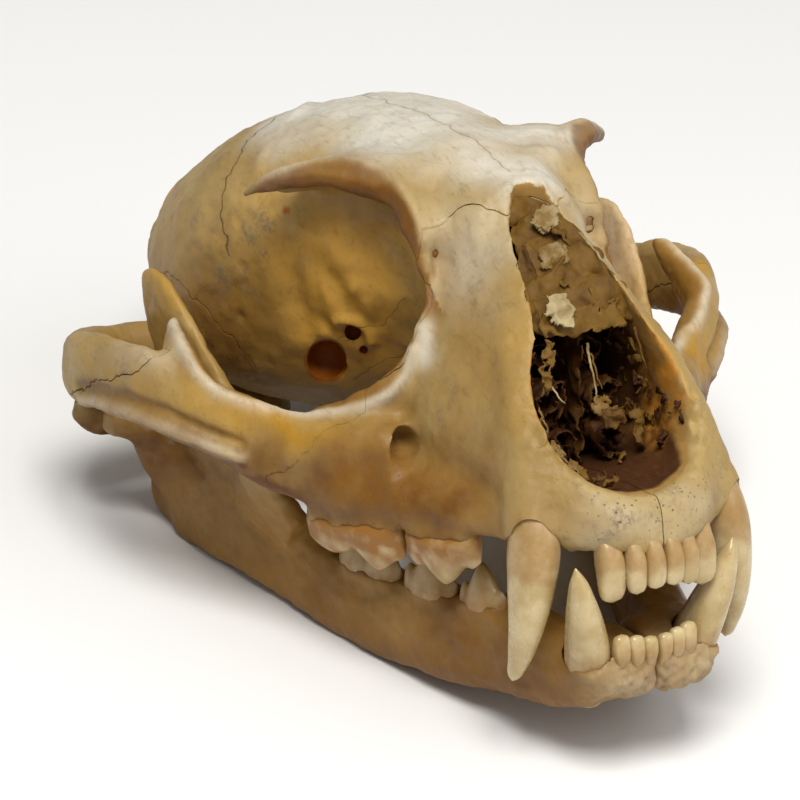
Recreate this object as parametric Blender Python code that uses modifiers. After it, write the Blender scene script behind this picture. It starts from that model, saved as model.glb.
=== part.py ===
# Caracal skull, life size, resting on its lower jaws with the mouth slightly open and the nasal bones lost.
#
# The bones are built in the skull's own frame, in millimetres: x runs to the animal's left, y from the
# incisors back to the occiput, and z up from the rim of the upper tooth sockets. One empty then tips the
# whole skull back until it lies on its lower jaws, and carries every bone and tooth.

import math

import bmesh
import bpy
import numpy as np
from mathutils import Matrix, Vector

# Driving dimensions, in millimetres
SKULL_LENGTH = 121.0  # incisors to occipital condyles
BRAINCASE_HALF_WIDTH = 29.0
CHEEK_HALF_WIDTH = 45.6  # midline to the middle of the zygomatic arch's bone, where it is widest
PALATE_HALF_WIDTH = 31.0  # midline to the outer rim of the last cheek tooth's sockets
UPPER_CANINE = 20.0  # crown lengths
LOWER_CANINE = 14.0
LEAST_CUSP = 2.2  # crown height of a cheek tooth between its cusps
FLAT_DEPTH = 0.45  # how much of each jaw's underside is worn flat where it rests

DRAWN_LENGTH = 121.0  # the places below are drawn for a skull of this length
MM = 0.001 * SKULL_LENGTH / DRAWN_LENGTH

GAP = 0.3  # clearance between neighbouring bones
SCROLL_CLEARANCE = 1.1  # between the thin bones in the nose and its walls
SKIN = 0.8  # size of the grid that fuses overlapping shapes into one bone
SIDES = (("right", -1.0), ("left", 1.0))

# Triangles kept on each bone
CRANIUM_TRIANGLES = 5200
JAW_TRIANGLES = 1000
BULLA_TRIANGLES = 260
SCROLL_TRIANGLES = 900

# Finishes: name, colour, roughness
BONE = ("bone", (0.72, 0.62, 0.42), 0.55)
ENAMEL = ("enamel", (0.86, 0.80, 0.66), 0.3)
THIN_BONE = ("thin_bone", (0.36, 0.25, 0.13), 0.8)


# Curves and sections

def smooth(stations, at):
    """Reads rows of (place, value, value, ...) along a smooth curve that does not overshoot."""
    rows = np.array(stations, float)
    place, values = rows[:, 0], rows[:, 1:]
    step = np.diff(place)[:, None]
    slope = np.diff(values, axis=0) / step
    tangent = np.zeros_like(values)
    tangent[0], tangent[-1] = slope[0], slope[-1]
    same_way = slope[:-1] * slope[1:] > 0
    total = np.where(same_way, slope[:-1] + slope[1:], 1.0)
    tangent[1:-1] = np.where(same_way, 2 * slope[:-1] * slope[1:] / total, 0.0)
    at = np.atleast_1d(np.asarray(at, float))
    i = np.clip(np.searchsorted(place, at) - 1, 0, len(place) - 2)
    t = (at - place[i])[:, None] / step[i]
    return (
        (2 * t**3 - 3 * t**2 + 1) * values[i]
        + (t**3 - 2 * t**2 + t) * step[i] * tangent[i]
        + (-2 * t**3 + 3 * t**2) * values[i + 1]
        + (t**3 - t**2) * step[i] * tangent[i + 1]
    )


def unit(vectors):
    return vectors / np.linalg.norm(vectors, axis=-1, keepdims=True)


def run_lengths(points):
    return np.concatenate([[0], np.cumsum(np.linalg.norm(np.diff(points, axis=0), axis=1))])


def along_curve(points, count):
    """Evenly many rows along a smooth curve through rows whose first three values are a place."""
    rows = np.array(points, float)
    place = run_lengths(rows[:, :3])
    return smooth(np.column_stack([place, rows]), np.linspace(0, place[-1], count))


def round_points(around):
    """Cosines and sines of evenly spaced angles."""
    angle = np.linspace(0, 2 * math.pi, around, endpoint=False)
    return np.cos(angle), np.sin(angle)


def swell(value, power):
    """Turns a cosine or sine into that of a superellipse: 2 is round, more is squarer."""
    return np.sign(value) * np.abs(value) ** (2 / power)


# Making meshes

def add_object(name, mesh, home):
    obj = bpy.data.objects.new(name, mesh)
    obj.parent = home["pose"]
    home["helpers"].objects.link(obj)
    obj.display_type = "WIRE"
    obj.hide_render = True
    return obj


def mesh_object(name, points, faces, home):
    mesh = bpy.data.meshes.new(name)
    mesh.from_pydata((np.asarray(points) * MM).tolist(), [], faces)
    bm = bmesh.new()
    bm.from_mesh(mesh)
    bmesh.ops.remove_doubles(bm, verts=bm.verts, dist=0.00001)
    bmesh.ops.triangulate(bm, faces=bm.faces)
    bmesh.ops.recalc_face_normals(bm, faces=bm.faces)
    bm.to_mesh(mesh)
    bm.free()
    return add_object(name, mesh, home)


def loft(name, rings, home):
    """Joins rings of equally many points into one closed skin with flat ends."""
    rings = np.asarray(rings)
    count, around = rings.shape[:2]
    faces = []
    for i in range(count - 1):
        near, far = i * around, (i + 1) * around
        for j in range(around):
            k = (j + 1) % around
            faces.append((near + j, near + k, far + k, far + j))
    faces.append(tuple(range(around))[::-1])
    faces.append(tuple(range((count - 1) * around, count * around)))
    return mesh_object(name, rings.reshape(-1, 3), faces, home)


def lobe(name, stations, home, half_width=1.0, around=40, steps=40):
    """A body that is alike on both sides, along y. Its section bulges most at its waist.

    A station is (y, half width, floor, waist, top, power below, power above). The half width is
    a share of half_width, and a power under 2 draws the section in towards a straight slope."""
    rows = np.array(stations, float)
    at = np.linspace(rows[0, 0], rows[-1, 0], steps)
    c, s = round_points(around)
    rings = []
    for y, (width, floor, waist, top, below, above) in zip(at, smooth(rows, at)):
        power = np.where(s < 0, below, above)
        reach = np.where(s < 0, waist - floor, top - waist)
        x = width * half_width * swell(c, power)
        z = waist + reach * swell(s, power)
        rings.append(np.column_stack([x, np.full_like(x, y), z]))
    return loft(name, rings, home)


def rod(name, stations, home, side=1.0, stand=(0, 0, 1), steps=20, around=12, power=2.2):
    """A bent rod or blade. A station is (x, y, z, half thickness, half height, lean in degrees).

    The height stands across the path as near to the stand direction as it can, then leans about it."""
    read = along_curve(stations, steps)
    centre, thick, high, lean = read[:, :3], read[:, 3:4], read[:, 4:5], np.radians(read[:, 5:6])
    along = unit(np.gradient(centre, axis=0))
    out = unit(np.cross(np.tile(stand, (steps, 1)), along))
    up = np.cross(along, out)
    wide = out * np.cos(lean) - up * np.sin(lean)
    tall = up * np.cos(lean) + out * np.sin(lean)
    c, s = round_points(around)
    flat = (thick * swell(c, power))[:, :, None]
    deep = (high * swell(s, power))[:, :, None]
    rings = centre[:, None] + wide[:, None] * flat + tall[:, None] * deep
    rings[:, :, 0] *= side
    return loft(name, rings, home)


def ball(name, centre, radii, home, side=1.0, turn=(0, 0, 0)):
    """An ellipsoid, turned by degrees about x, then y, then z, on the side asked for."""
    bm = bmesh.new()
    bmesh.ops.create_uvsphere(bm, u_segments=24, v_segments=14, radius=1.0)
    turning = Matrix.Identity(4)
    for axis, degrees in zip("XYZ", turn):
        turning = Matrix.Rotation(math.radians(degrees), 4, axis) @ turning
    shape = Matrix.Diagonal((*[r * MM for r in radii], 1.0))
    mirror = Matrix.Diagonal((side, 1.0, 1.0, 1.0))
    place = Matrix.Translation(Vector(centre) * MM)
    bmesh.ops.transform(bm, matrix=mirror @ place @ turning @ shape, verts=bm.verts)
    bmesh.ops.recalc_face_normals(bm, faces=bm.faces)
    mesh = bpy.data.meshes.new(name)
    bm.to_mesh(mesh)
    bm.free()
    return add_object(name, mesh, home)


def grown_outline(outline, by):
    """Moves the edges of a closed outline, which runs anticlockwise, outwards by a distance."""
    points = np.array(outline, float)
    before = unit(points - np.roll(points, 1, axis=0))
    after = unit(np.roll(points, -1, axis=0) - points)
    normal_before = np.column_stack([before[:, 1], -before[:, 0]])
    normal_after = np.column_stack([after[:, 1], -after[:, 0]])
    corner = unit(normal_before + normal_after)
    reach = by / (corner * normal_after).sum(1, keepdims=True)
    return points + corner * reach


def block(name, outline, low, high, home, by=0.0, side=1.0, axis="x"):
    """A prism, grown all round by a distance: an outline carried along x or z from low to high.

    The outline is in y and z for a prism along x, and in x and y for one along z."""
    edge = grown_outline(outline, by)
    rings = []
    for place in (low - by, high + by):
        level = np.full(len(edge), place)
        ring = np.column_stack([level, edge]) if axis == "x" else np.column_stack([edge, level])
        rings.append(ring * (side, 1, 1))
    return loft(name, rings, home)


# Fusing, cutting and parting

def apply_modifiers(obj):
    bpy.context.view_layer.update()
    graph = bpy.context.evaluated_depsgraph_get()
    mesh = bpy.data.meshes.new_from_object(obj.evaluated_get(graph))
    obj.modifiers.clear()
    old = obj.data
    obj.data = mesh
    bpy.data.meshes.remove(old)
    return obj


def skin_over(obj, softening):
    """One even skin over overlapping shapes, with the joins between them rounded."""
    remesh = obj.modifiers.new("skin", "REMESH")
    remesh.mode = "VOXEL"
    remesh.voxel_size = SKIN * MM
    soften = obj.modifiers.new("soften", "SMOOTH")
    soften.factor = 0.5
    soften.iterations = softening
    return apply_modifiers(obj)


def fuse(name, pieces, home, softening=4):
    bm = bmesh.new()
    for piece in pieces:
        bm.from_mesh(piece.data)
        bpy.data.objects.remove(piece)
    mesh = bpy.data.meshes.new(name)
    bm.to_mesh(mesh)
    bm.free()
    return skin_over(add_object(name, mesh, home), softening)


def combine(obj, other, operation, solver="EXACT"):
    """One Boolean, applied, after which the other object is removed."""
    modifier = obj.modifiers.new(operation.lower(), "BOOLEAN")
    modifier.operation = operation
    modifier.solver = solver
    modifier.object = other
    apply_modifiers(obj)
    bpy.data.objects.remove(other)
    return obj


def cut(obj, cutters):
    for cutter in cutters:
        combine(obj, cutter, "DIFFERENCE", "MANIFOLD")
    return obj


def thin_out(obj, triangles):
    """Keeps the shape with about this many triangles."""
    obj.data.calc_loop_triangles()
    share = triangles / len(obj.data.loop_triangles)
    if share < 1:
        modifier = obj.modifiers.new("thin out", "DECIMATE")
        modifier.ratio = share
        apply_modifiers(obj)
    return obj


def copy_of(obj, name, home):
    return add_object(name, obj.data.copy(), home)


def grown_copy(obj, by, home):
    """A copy swollen by this many millimetres, which cuts a socket that clears the original."""
    made = copy_of(obj, obj.name + "_socket", home)
    bm = bmesh.new()
    bm.from_mesh(made.data)
    bm.normal_update()
    for vert in bm.verts:
        vert.co += vert.normal * by * MM * min(vert.calc_shell_factor(), 1.5)
    bm.to_mesh(made.data)
    bm.free()
    return made


def keep_largest(obj):
    """Drops every loose scrap, and fills what fusing has sealed inside."""
    bm = bmesh.new()
    bm.from_mesh(obj.data)
    left = set(bm.faces)
    bodies = []
    while left:
        stack = [left.pop()]
        body = []
        while stack:
            face = stack.pop()
            body.append(face)
            for edge in face.edges:
                for other in edge.link_faces:
                    if other in left:
                        left.remove(other)
                        stack.append(other)
        bodies.append(body)
    bodies.sort(key=len)
    scraps = [face for body in bodies[:-1] for face in body]
    bmesh.ops.delete(bm, geom=scraps, context="FACES")
    bm.to_mesh(obj.data)
    bm.free()
    return obj


def part_off(whole, region, name, home):
    """Parts the bone inside a region from the rest, with the gap between them.

    The region is a function of (name, growth) that makes the region's solid."""
    piece = copy_of(whole, name, home)
    combine(piece, region(name + "_inside", -GAP / 2), "INTERSECT", "MANIFOLD")
    combine(whole, region(name + "_outside", GAP / 2), "DIFFERENCE", "MANIFOLD")
    keep_largest(whole)
    return keep_largest(piece)


# The cranium

def cranium_lobes(home):
    vault = (  # y, share of the braincase's half width, floor, waist, top, power below, power above
        (33.0, 0.29, 20.0, 36.0, 44.3, 1.6, 2.2),
        (38.0, 0.37, 16.0, 36.0, 45.2, 1.5, 2.2),
        (44.0, 0.42, 13.0, 36.0, 47.2, 1.4, 2.3),
        (50.0, 0.46, 11.0, 35.0, 48.6, 1.4, 2.4),
        (56.0, 0.53, 10.0, 35.0, 49.2, 1.5, 2.5),
        (62.0, 0.61, 7.5, 33.0, 49.9, 1.8, 2.4),
        (68.0, 0.73, 6.5, 31.0, 50.3, 2.2, 2.3),
        (76.0, 0.89, 6.2, 28.0, 50.4, 2.6, 2.2),
        (86.0, 1.0, 6.6, 26.0, 49.3, 2.8, 2.15),
        (96.0, 0.98, 7.5, 24.5, 46.8, 2.8, 2.1),
        (104.0, 0.87, 8.0, 23.0, 42.6, 2.8, 2.1),
        (111.0, 0.66, 9.0, 22.0, 36.2, 2.6, 2.2),
        (116.0, 0.4, 12.0, 20.0, 29.0, 2.2, 2.2),
    )
    muzzle = (  # y, half width, floor, waist, top, power below, power above
        (0.8, 6.2, 0.6, 3.5, 6.6, 2.4, 2.4),
        (3.5, 9.3, 0.4, 4.5, 9.2, 2.4, 2.4),
        (7.5, 12.6, 0.4, 6.5, 14.5, 2.4, 2.3),
        (11.0, 14.6, 0.4, 8.5, 20.5, 2.4, 2.2),
        (15.0, 15.6, 0.6, 10.5, 28.0, 2.6, 1.8),
        (19.5, 16.4, 0.8, 12.0, 34.6, 2.6, 1.55),
        (25.0, 17.6, 1.0, 13.0, 40.2, 2.6, 1.36),
        (31.0, 18.6, 1.2, 14.0, 43.2, 2.6, 1.34),
        (37.0, 18.0, 1.4, 15.0, 45.0, 2.6, 1.38),
        (43.0, 13.5, 6.0, 18.0, 43.0, 2.0, 1.8),
    )
    palate = (  # y, share of the palate's half width, floor, waist, top, power below, power above
        (1.0, 0.2, 0.5, 2.5, 5.0, 3.0, 3.0),
        (8.0, 0.43, 0.4, 3.0, 6.0, 3.0, 3.0),
        (14.0, 0.53, 0.6, 3.0, 8.0, 3.0, 3.0),
        (20.0, 0.63, 0.7, 3.5, 9.0, 3.0, 2.6),
        (27.0, 0.75, 0.6, 4.0, 11.0, 3.0, 2.4),
        (34.0, 0.88, 0.4, 4.0, 12.0, 3.0, 2.4),
        (41.0, 0.98, 0.2, 4.5, 12.0, 3.0, 2.4),
        (47.0, 0.98, 0.2, 4.5, 10.5, 3.0, 2.4),
        (51.5, 0.9, 1.6, 4.5, 8.5, 2.4, 2.2),
    )
    return [
        lobe("vault", vault, home, BRAINCASE_HALF_WIDTH),
        lobe("muzzle", muzzle, home),
        lobe("palate", palate, home, PALATE_HALF_WIDTH),
    ]


def cranium_ridges(home, side):
    """The swellings and crests of one side of the cranium."""
    canine_root = (
        (14.0, 10.4, 2.2, 4.1, 4.7, 0),
        (13.0, 12.0, 7.0, 3.9, 4.4, 0),
        (11.8, 16.0, 15.5, 3.4, 3.8, 0),
        (10.0, 21.5, 25.0, 2.6, 2.8, 0),
    )
    lower_rim = (
        (27.0, 47.5, 12.6, 2.6, 2.6, 0),
        (23.2, 42.4, 14.6, 2.8, 2.8, 0),
        (19.2, 38.8, 18.2, 2.6, 2.6, 0),
        (16.6, 37.8, 23.0, 2.2, 2.2, 0),
        (15.4, 37.6, 27.7, 2.0, 2.0, 0),
        (14.2, 39.4, 34.0, 1.9, 2.0, 0),
        (13.6, 42.4, 39.6, 2.0, 2.0, 0),
    )
    upper_rim = (
        (11.4, 38.5, 37.0, 2.6, 2.2, 0),
        (12.6, 43.0, 41.4, 2.4, 2.2, 0),
        (15.2, 48.5, 43.8, 2.4, 2.0, 0),
        (19.6, 54.5, 45.2, 3.0, 1.9, 0),
        (24.4, 59.8, 44.0, 2.6, 1.6, 0),
        (28.3, 63.6, 41.8, 0.8, 0.8, 0),
    )
    brow = (
        (7.0, 45.0, 44.2, 4.5, 2.4, 0),
        (12.0, 54.0, 45.6, 5.5, 2.4, 0),
        (17.6, 59.5, 44.2, 4.6, 2.2, 0),
        (24.0, 62.0, 42.7, 2.0, 1.2, 0),
    )
    pterygoid = (
        (9.5, 50.0, 6.6, 1.6, 5.0, 0),
        (8.4, 58.0, 4.6, 1.4, 6.0, 0),
        (8.6, 66.0, 3.6, 1.3, 6.0, 0),
        (10.0, 74.0, 3.6, 1.2, 3.4, 0),
    )
    mastoid = (
        (23.0, 98.0, 13.0, 4.0, 5.0, 0),
        (22.5, 103.0, 8.0, 3.2, 4.0, 0),
        (20.0, 107.0, 1.5, 1.8, 2.0, 0),
    )
    nuchal_crest = (
        (26.0, 95.0, 19.0, 1.8, 2.0, 0),
        (23.5, 104.5, 26.0, 1.8, 2.4, 0),
        (16.0, 112.0, 32.5, 1.8, 2.8, 0),
        (8.0, 115.5, 35.5, 2.0, 3.0, 0),
        (0.0, 116.5, 36.4, 2.2, 3.2, 0),
    )
    crest_foot = (  # fills the gap between the middle of the crest and the vault
        (13.0, 110.6, 31.0, 2.2, 2.4, 0),
        (6.0, 112.6, 33.2, 2.7, 2.8, 0),
        (-0.4, 113.2, 33.8, 2.7, 2.8, 0),
    )
    behind_joint = (
        (43.2, 91.6, 10.6, 1.8, 3.8, 0),
        (38.0, 92.4, 8.4, 1.8, 4.8, 0),
        (32.0, 92.8, 8.6, 1.8, 4.8, 0),
        (27.0, 92.5, 9.0, 2.2, 4.6, 0),
    )
    return [
        rod("canine_root", canine_root, home, side, stand=(0, 1, 0)),
        rod("lower_rim", lower_rim, home, side, stand=(0, 1, 0), steps=30),
        rod("upper_rim", upper_rim, home, side, steps=30),
        rod("brow", brow, home, side),
        rod("pterygoid", pterygoid, home, side),
        rod("mastoid", mastoid, home, side, stand=(0, 1, 0)),
        rod("nuchal_crest", nuchal_crest, home, side),
        rod("crest_foot", crest_foot, home, side),
        rod("behind_joint", behind_joint, home, side),
        ball("occipital_condyle", (8.4, 116.4, 11.5), (5.2, 4.6, 6.0), home, side),
    ]


def arch_ridges(home, side):
    """The zygomatic arch of one side, with the cheekbone's point behind the eye."""
    arch = (  # share of the cheek's half width, y, z, half thickness, half height, lean
        (0.44, 33.0, 8.4, 4.6, 6.2, 0),
        (0.54, 39.0, 8.5, 3.8, 6.4, 0),
        (0.65, 45.5, 8.8, 3.0, 6.0, 6),
        (0.75, 50.5, 11.2, 2.6, 5.4, 10),
        (0.84, 54.6, 14.0, 2.4, 5.0, 12),
        (0.925, 59.0, 16.0, 2.2, 4.8, 12),
        (0.98, 65.0, 18.0, 2.1, 5.8, 4),
        (1.0, 72.0, 18.0, 2.1, 5.8, 1),
        (1.0, 79.0, 17.5, 2.3, 5.5, 0),
        (0.975, 85.0, 16.5, 2.9, 5.3, 0),
        (0.915, 89.2, 15.8, 3.5, 5.6, 0),
        (0.75, 91.8, 15.4, 3.4, 4.9, 0),
        (0.55, 91.0, 15.0, 4.5, 5.5, 0),
    )
    arch = [(share * CHEEK_HALF_WIDTH, *rest) for share, *rest in arch]
    point = (
        (39.8, 56.5, 17.0, 1.8, 4.6, 0),
        (39.4, 62.4, 22.0, 1.6, 3.0, 0),
        (38.0, 67.0, 26.4, 1.0, 1.1, 0),
    )
    return [
        rod("arch", arch, home, side, steps=48, power=2.9),
        rod("point", point, home, side, stand=(0, 1, 0)),
    ]


def nasal_hollow(name, home, growth=0.0):
    """The nose's opening, narrow where the nasal bones were and wide below, and the hollow behind it.

    The rim's stations are (half width, y, z), from the top down. Each point of the rim leads out of
    the skull, and back to an oval where the hollow ends. Growth widens every ring by a distance."""
    rim = (
        (1.2, 34.6, 45.6),
        (3.6, 29.9, 43.4),
        (5.0, 23.5, 38.4),
        (7.4, 16.6, 29.0),
        (10.6, 13.2, 21.5),
        (11.0, 10.6, 15.5),
        (8.6, 6.2, 10.6),
        (3.6, 3.2, 8.0),
        (0.5, 2.8, 7.8),
    )
    rim = along_curve(rim, 18)
    angle = np.linspace(0, math.pi, len(rim))
    end_width, end_height, end_y, end_z = 8.0, 11.5, 37.0, 19.0
    end = np.column_stack([
        0.5 + end_width * np.sin(angle) ** 0.7,
        np.full(len(rim), end_y),
        end_z + end_height * np.cos(angle),
    ])
    outside = rim + (0.0, -9.0, 5.0)
    rings = []
    for half in (outside, rim, rim + 0.35 * (end - rim), rim + 0.7 * (end - rim), end):
        middle = half.mean(axis=0) * (0, 1, 1)
        half = half + unit(half - middle) * growth
        rings.append(np.concatenate([half, half[::-1] * (-1, 1, 1)]))
    return loft(name, rings, home)


def cranium_hollows(home):
    mouth_roof = (
        (4.0, 2.0, -6.0, -1.0, 1.4, 2.4, 2.2),
        (10.0, 8.5, -6.0, -1.0, 2.6, 2.4, 2.2),
        (20.0, 12.0, -6.0, -1.0, 3.6, 2.4, 2.2),
        (34.0, 16.5, -6.0, -1.0, 4.6, 2.4, 2.2),
        (46.0, 19.5, -6.0, -1.0, 5.0, 2.4, 2.2),
        (58.0, 19.0, -6.0, -1.0, 6.0, 2.4, 2.2),
    )
    hollows = [nasal_hollow("nasal_hollow", home), lobe("mouth_roof", mouth_roof, home)]
    for _, side in SIDES:
        hollows.append(ball("orbit", (25.2, 51.0, 29.5), (12.5, 18.0, 14.6), home, side, turn=(0, -13, -36.5)))
        hollows.append(ball("optic_hole", (14.6, 66.6, 16.6), (3.4, 2.6, 2.5), home, side))
        hollows.append(ball("canine_margin", (16.6, 9.6, 0.2), (3.0, 3.8, 2.9), home, side))
        hollows.append(ball("infraorbital", (21.0, 31.5, 11.8), (2.0, 7.0, 2.2), home, side, turn=(0, 0, 16)))
    hollows.append(ball("foramen_magnum", (0.0, 119.0, 17.5), (7.0, 10.0, 6.2), home))
    return hollows


def cheek_region(home, side):
    """Where the cheekbone parts from the face, below the eye, and from the temporal bone, on the arch.

    The temporal bone's tip lies on the outside of the arch, beside the cheekbone's point."""
    from_side = (
        (29.0, 34.0),
        (36.5, 18.0),
        (44.0, 8.6),
        (50.5, 3.0),
        (56.0, -12.0),
        (130.0, -12.0),
        (130.0, 4.0),
        (92.0, 9.8),
        (86.0, 12.2),
        (78.0, 15.8),
        (71.0, 17.6),
        (69.5, 20.4),
        (70.0, 34.0),
    )
    temporal_tip = (
        (80.0, 34.0),
        (60.6, 34.0),
        (60.6, 21.6),
        (64.0, 19.4),
        (71.0, 17.6),
        (80.0, 17.6),
    )
    from_above = (
        (17.0, 48.0),
        (31.0, 27.0),
        (62.0, 27.0),
        (62.0, 130.0),
        (35.0, 130.0),
        (35.0, 78.0),
        (30.0, 62.0),
        (22.0, 54.0),
    )

    def region(name, by):
        solid = block(name, from_side, 10.0, 70.0, home, by, side)
        combine(solid, block(name, from_above, -20.0, 50.0, home, by, side, "z"), "INTERSECT")
        return combine(solid, block(name, temporal_tip, 41.3, 72.0, home, -by, side), "DIFFERENCE")

    return region


def face_region(home, low, high):
    """Where the upper jaw parts from the frontal bones and the palate's rear."""
    outline = (
        (33.2, 62.0),
        (-14.0, 62.0),
        (-14.0, -12.0),
        (60.0, -12.0),
        (56.0, 6.0),
        (44.5, 15.0),
        (39.0, 24.0),
        (37.0, 34.0),
        (33.8, 42.0),
    )
    return lambda name, by: block(name, outline, low, high, home, by)


# Teeth

def tusk(name, stations, home, side):
    """A curved, tapering canine. A station is (x, y, z, half width, half length)."""
    rows = [(*station, 0) for station in stations]
    return rod(name, rows, home, side, stand=(0, 1, 0), steps=12, around=10, power=2.0)


def chisel(name, x, y, root, tip, half_width, half_depth, home, side, lean=0.0):
    """An incisor: round at the root, widest above the bite and thin at its edge."""
    rows = (
        (x, y + 1.0, root, 0.7 * half_width, 0.8 * half_depth, 0),
        (x, y + 0.6, root + 0.4 * (tip - root), 0.88 * half_width, half_depth, 0),
        (x + 0.5 * lean, y + 0.1, root + 0.75 * (tip - root), half_width, 0.85 * half_depth, 0),
        (x + lean, y - 0.1, tip, 0.82 * half_width, 0.3 * half_depth, 0),
    )
    return rod(name, rows, home, side, stand=(0, 1, 0), steps=5, around=6, power=2.4)


def blade(name, front, back, cusps, half_width, root, home, side, steps=9):
    """A cheek tooth: a ridge of pointed cusps between two places on the jaw.

    The ends are (x, y, z) at the gum, and a cusp is (place from 0 to 1, height, spread). The root is
    how far the tooth goes into the jaw. An upper tooth's cusps point down and have negative heights."""
    front, back = np.array(front, float), np.array(back, float)
    along = back - front
    across = unit(np.array([along[1], -along[0], 0.0]))
    way = math.copysign(1.0, cusps[0][1])
    rings = []
    for t in np.linspace(0.02, 0.98, steps):
        reaches = [abs(high) * (1 - (abs(t - at) / spread) ** 1.3) for at, high, spread in cusps]
        height = way * max(LEAST_CUSP, *reaches)
        width = half_width * math.sqrt(max(1 - (2 * t - 1) ** 4, 0.12))
        half = ((0.7, root), (1.0, 0.0), (0.84, 0.55 * height), (0.2, height))
        whole = half + tuple((-share, level) for share, level in reversed(half))
        middle = front + along * t
        rings.append([middle + across * width * share + (0, 0, level) for share, level in whole])
    rings = np.array(rings)
    rings[:, :, 0] *= side
    return loft(name, rings, home)


def upper_canine(name, home, side):
    tip = -UPPER_CANINE
    stations = (
        (11.9, 14.6, 12.0, 2.0, 2.6),
        (13.0, 11.8, 5.0, 2.6, 3.2),
        (14.3, 10.2, 0.4, 3.3, 3.9),
        (14.9, 9.9, 0.16 * tip, 3.0, 3.55),
        (15.7, 10.7, 0.47 * tip, 2.1, 2.6),
        (16.1, 12.6, 0.72 * tip, 1.15, 1.4),
        (16.3, 13.9, 0.85 * tip, 0.25, 0.25),
    )
    return tusk(name, stations, home, side)


def lower_canine(name, home, side):
    base = -13.9
    stations = (
        (6.6, 12.0, base - 6.0, 2.3, 2.8),
        (7.9, 8.4, base - 0.8, 2.8, 3.4),
        (9.2, 6.2, base + 0.28 * LOWER_CANINE, 2.5, 3.0),
        (10.6, 4.4, base + 0.62 * LOWER_CANINE, 1.8, 2.1),
        (11.5, 3.5, base + 0.88 * LOWER_CANINE, 0.8, 0.9),
        (11.8, 3.4, base + 0.98 * LOWER_CANINE, 0.2, 0.2),
    )
    return tusk(name, stations, home, side)


def upper_teeth(home, side):
    incisors = ((1.38, 0.9, -4.3, 1.2), (3.8, 1.5, -4.7, 1.2), (6.75, 3.0, -5.7, 1.75))
    teeth = [
        chisel("incisor", x, y, 3.2, tip, half, 1.5, home, side)
        for x, y, tip, half in incisors
    ]
    third = ((0.14, -3.4, 0.3), (0.52, -6.1, 0.6), (0.88, -4.0, 0.35))
    fourth = ((0.06, -3.4, 0.25), (0.28, -5.6, 0.42), (0.74, -4.2, 0.5))
    molar = ((0.5, -2.4, 0.6), (0.5, -2.4, 0.6))
    teeth.append(blade("premolar_3", (17.0, 20.2, 0.4), (21.8, 31.0, 0.4), third, 2.8, 3.0, home, side))
    teeth.append(blade("premolar_4", (22.4, 31.4, 0.4), (29.0, 46.4, 0.6), fourth, 2.7, 3.0, home, side))
    teeth.append(blade("molar_1", (25.4, 47.4, 0.8), (21.4, 48.4, 0.8), molar, 1.3, 2.0, home, side, 5))
    return teeth


def lower_teeth(home, side):
    incisors = ((1.08, 3.5, -11.3, 0.86), (2.95, 3.7, -11.0, 0.9), (4.8, 4.2, -10.7, 1.05))
    teeth = [
        chisel("incisor", x, y, -16.5, tip, half, 1.1, home, side, lean=0.1)
        for x, y, tip, half in incisors
    ]
    third = ((0.12, 2.6, 0.24), (0.48, 6.0, 0.44), (0.88, 2.8, 0.24))
    fourth = ((0.12, 3.0, 0.24), (0.48, 6.8, 0.44), (0.88, 3.4, 0.24))
    molar = ((0.25, 5.6, 0.34), (0.72, 6.4, 0.36))
    teeth.append(blade("premolar_3", (12.6, 21.4, -10.6), (15.0, 29.8, -10.8), third, 1.9, -3.0, home, side))
    teeth.append(blade("premolar_4", (15.3, 30.4, -10.8), (18.2, 39.8, -10.0), fourth, 2.0, -3.0, home, side))
    teeth.append(blade("molar_1", (18.6, 40.4, -10.0), (22.2, 51.4, -8.4), molar, 2.1, -3.0, home, side))
    return teeth


# The lower jaw

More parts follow.
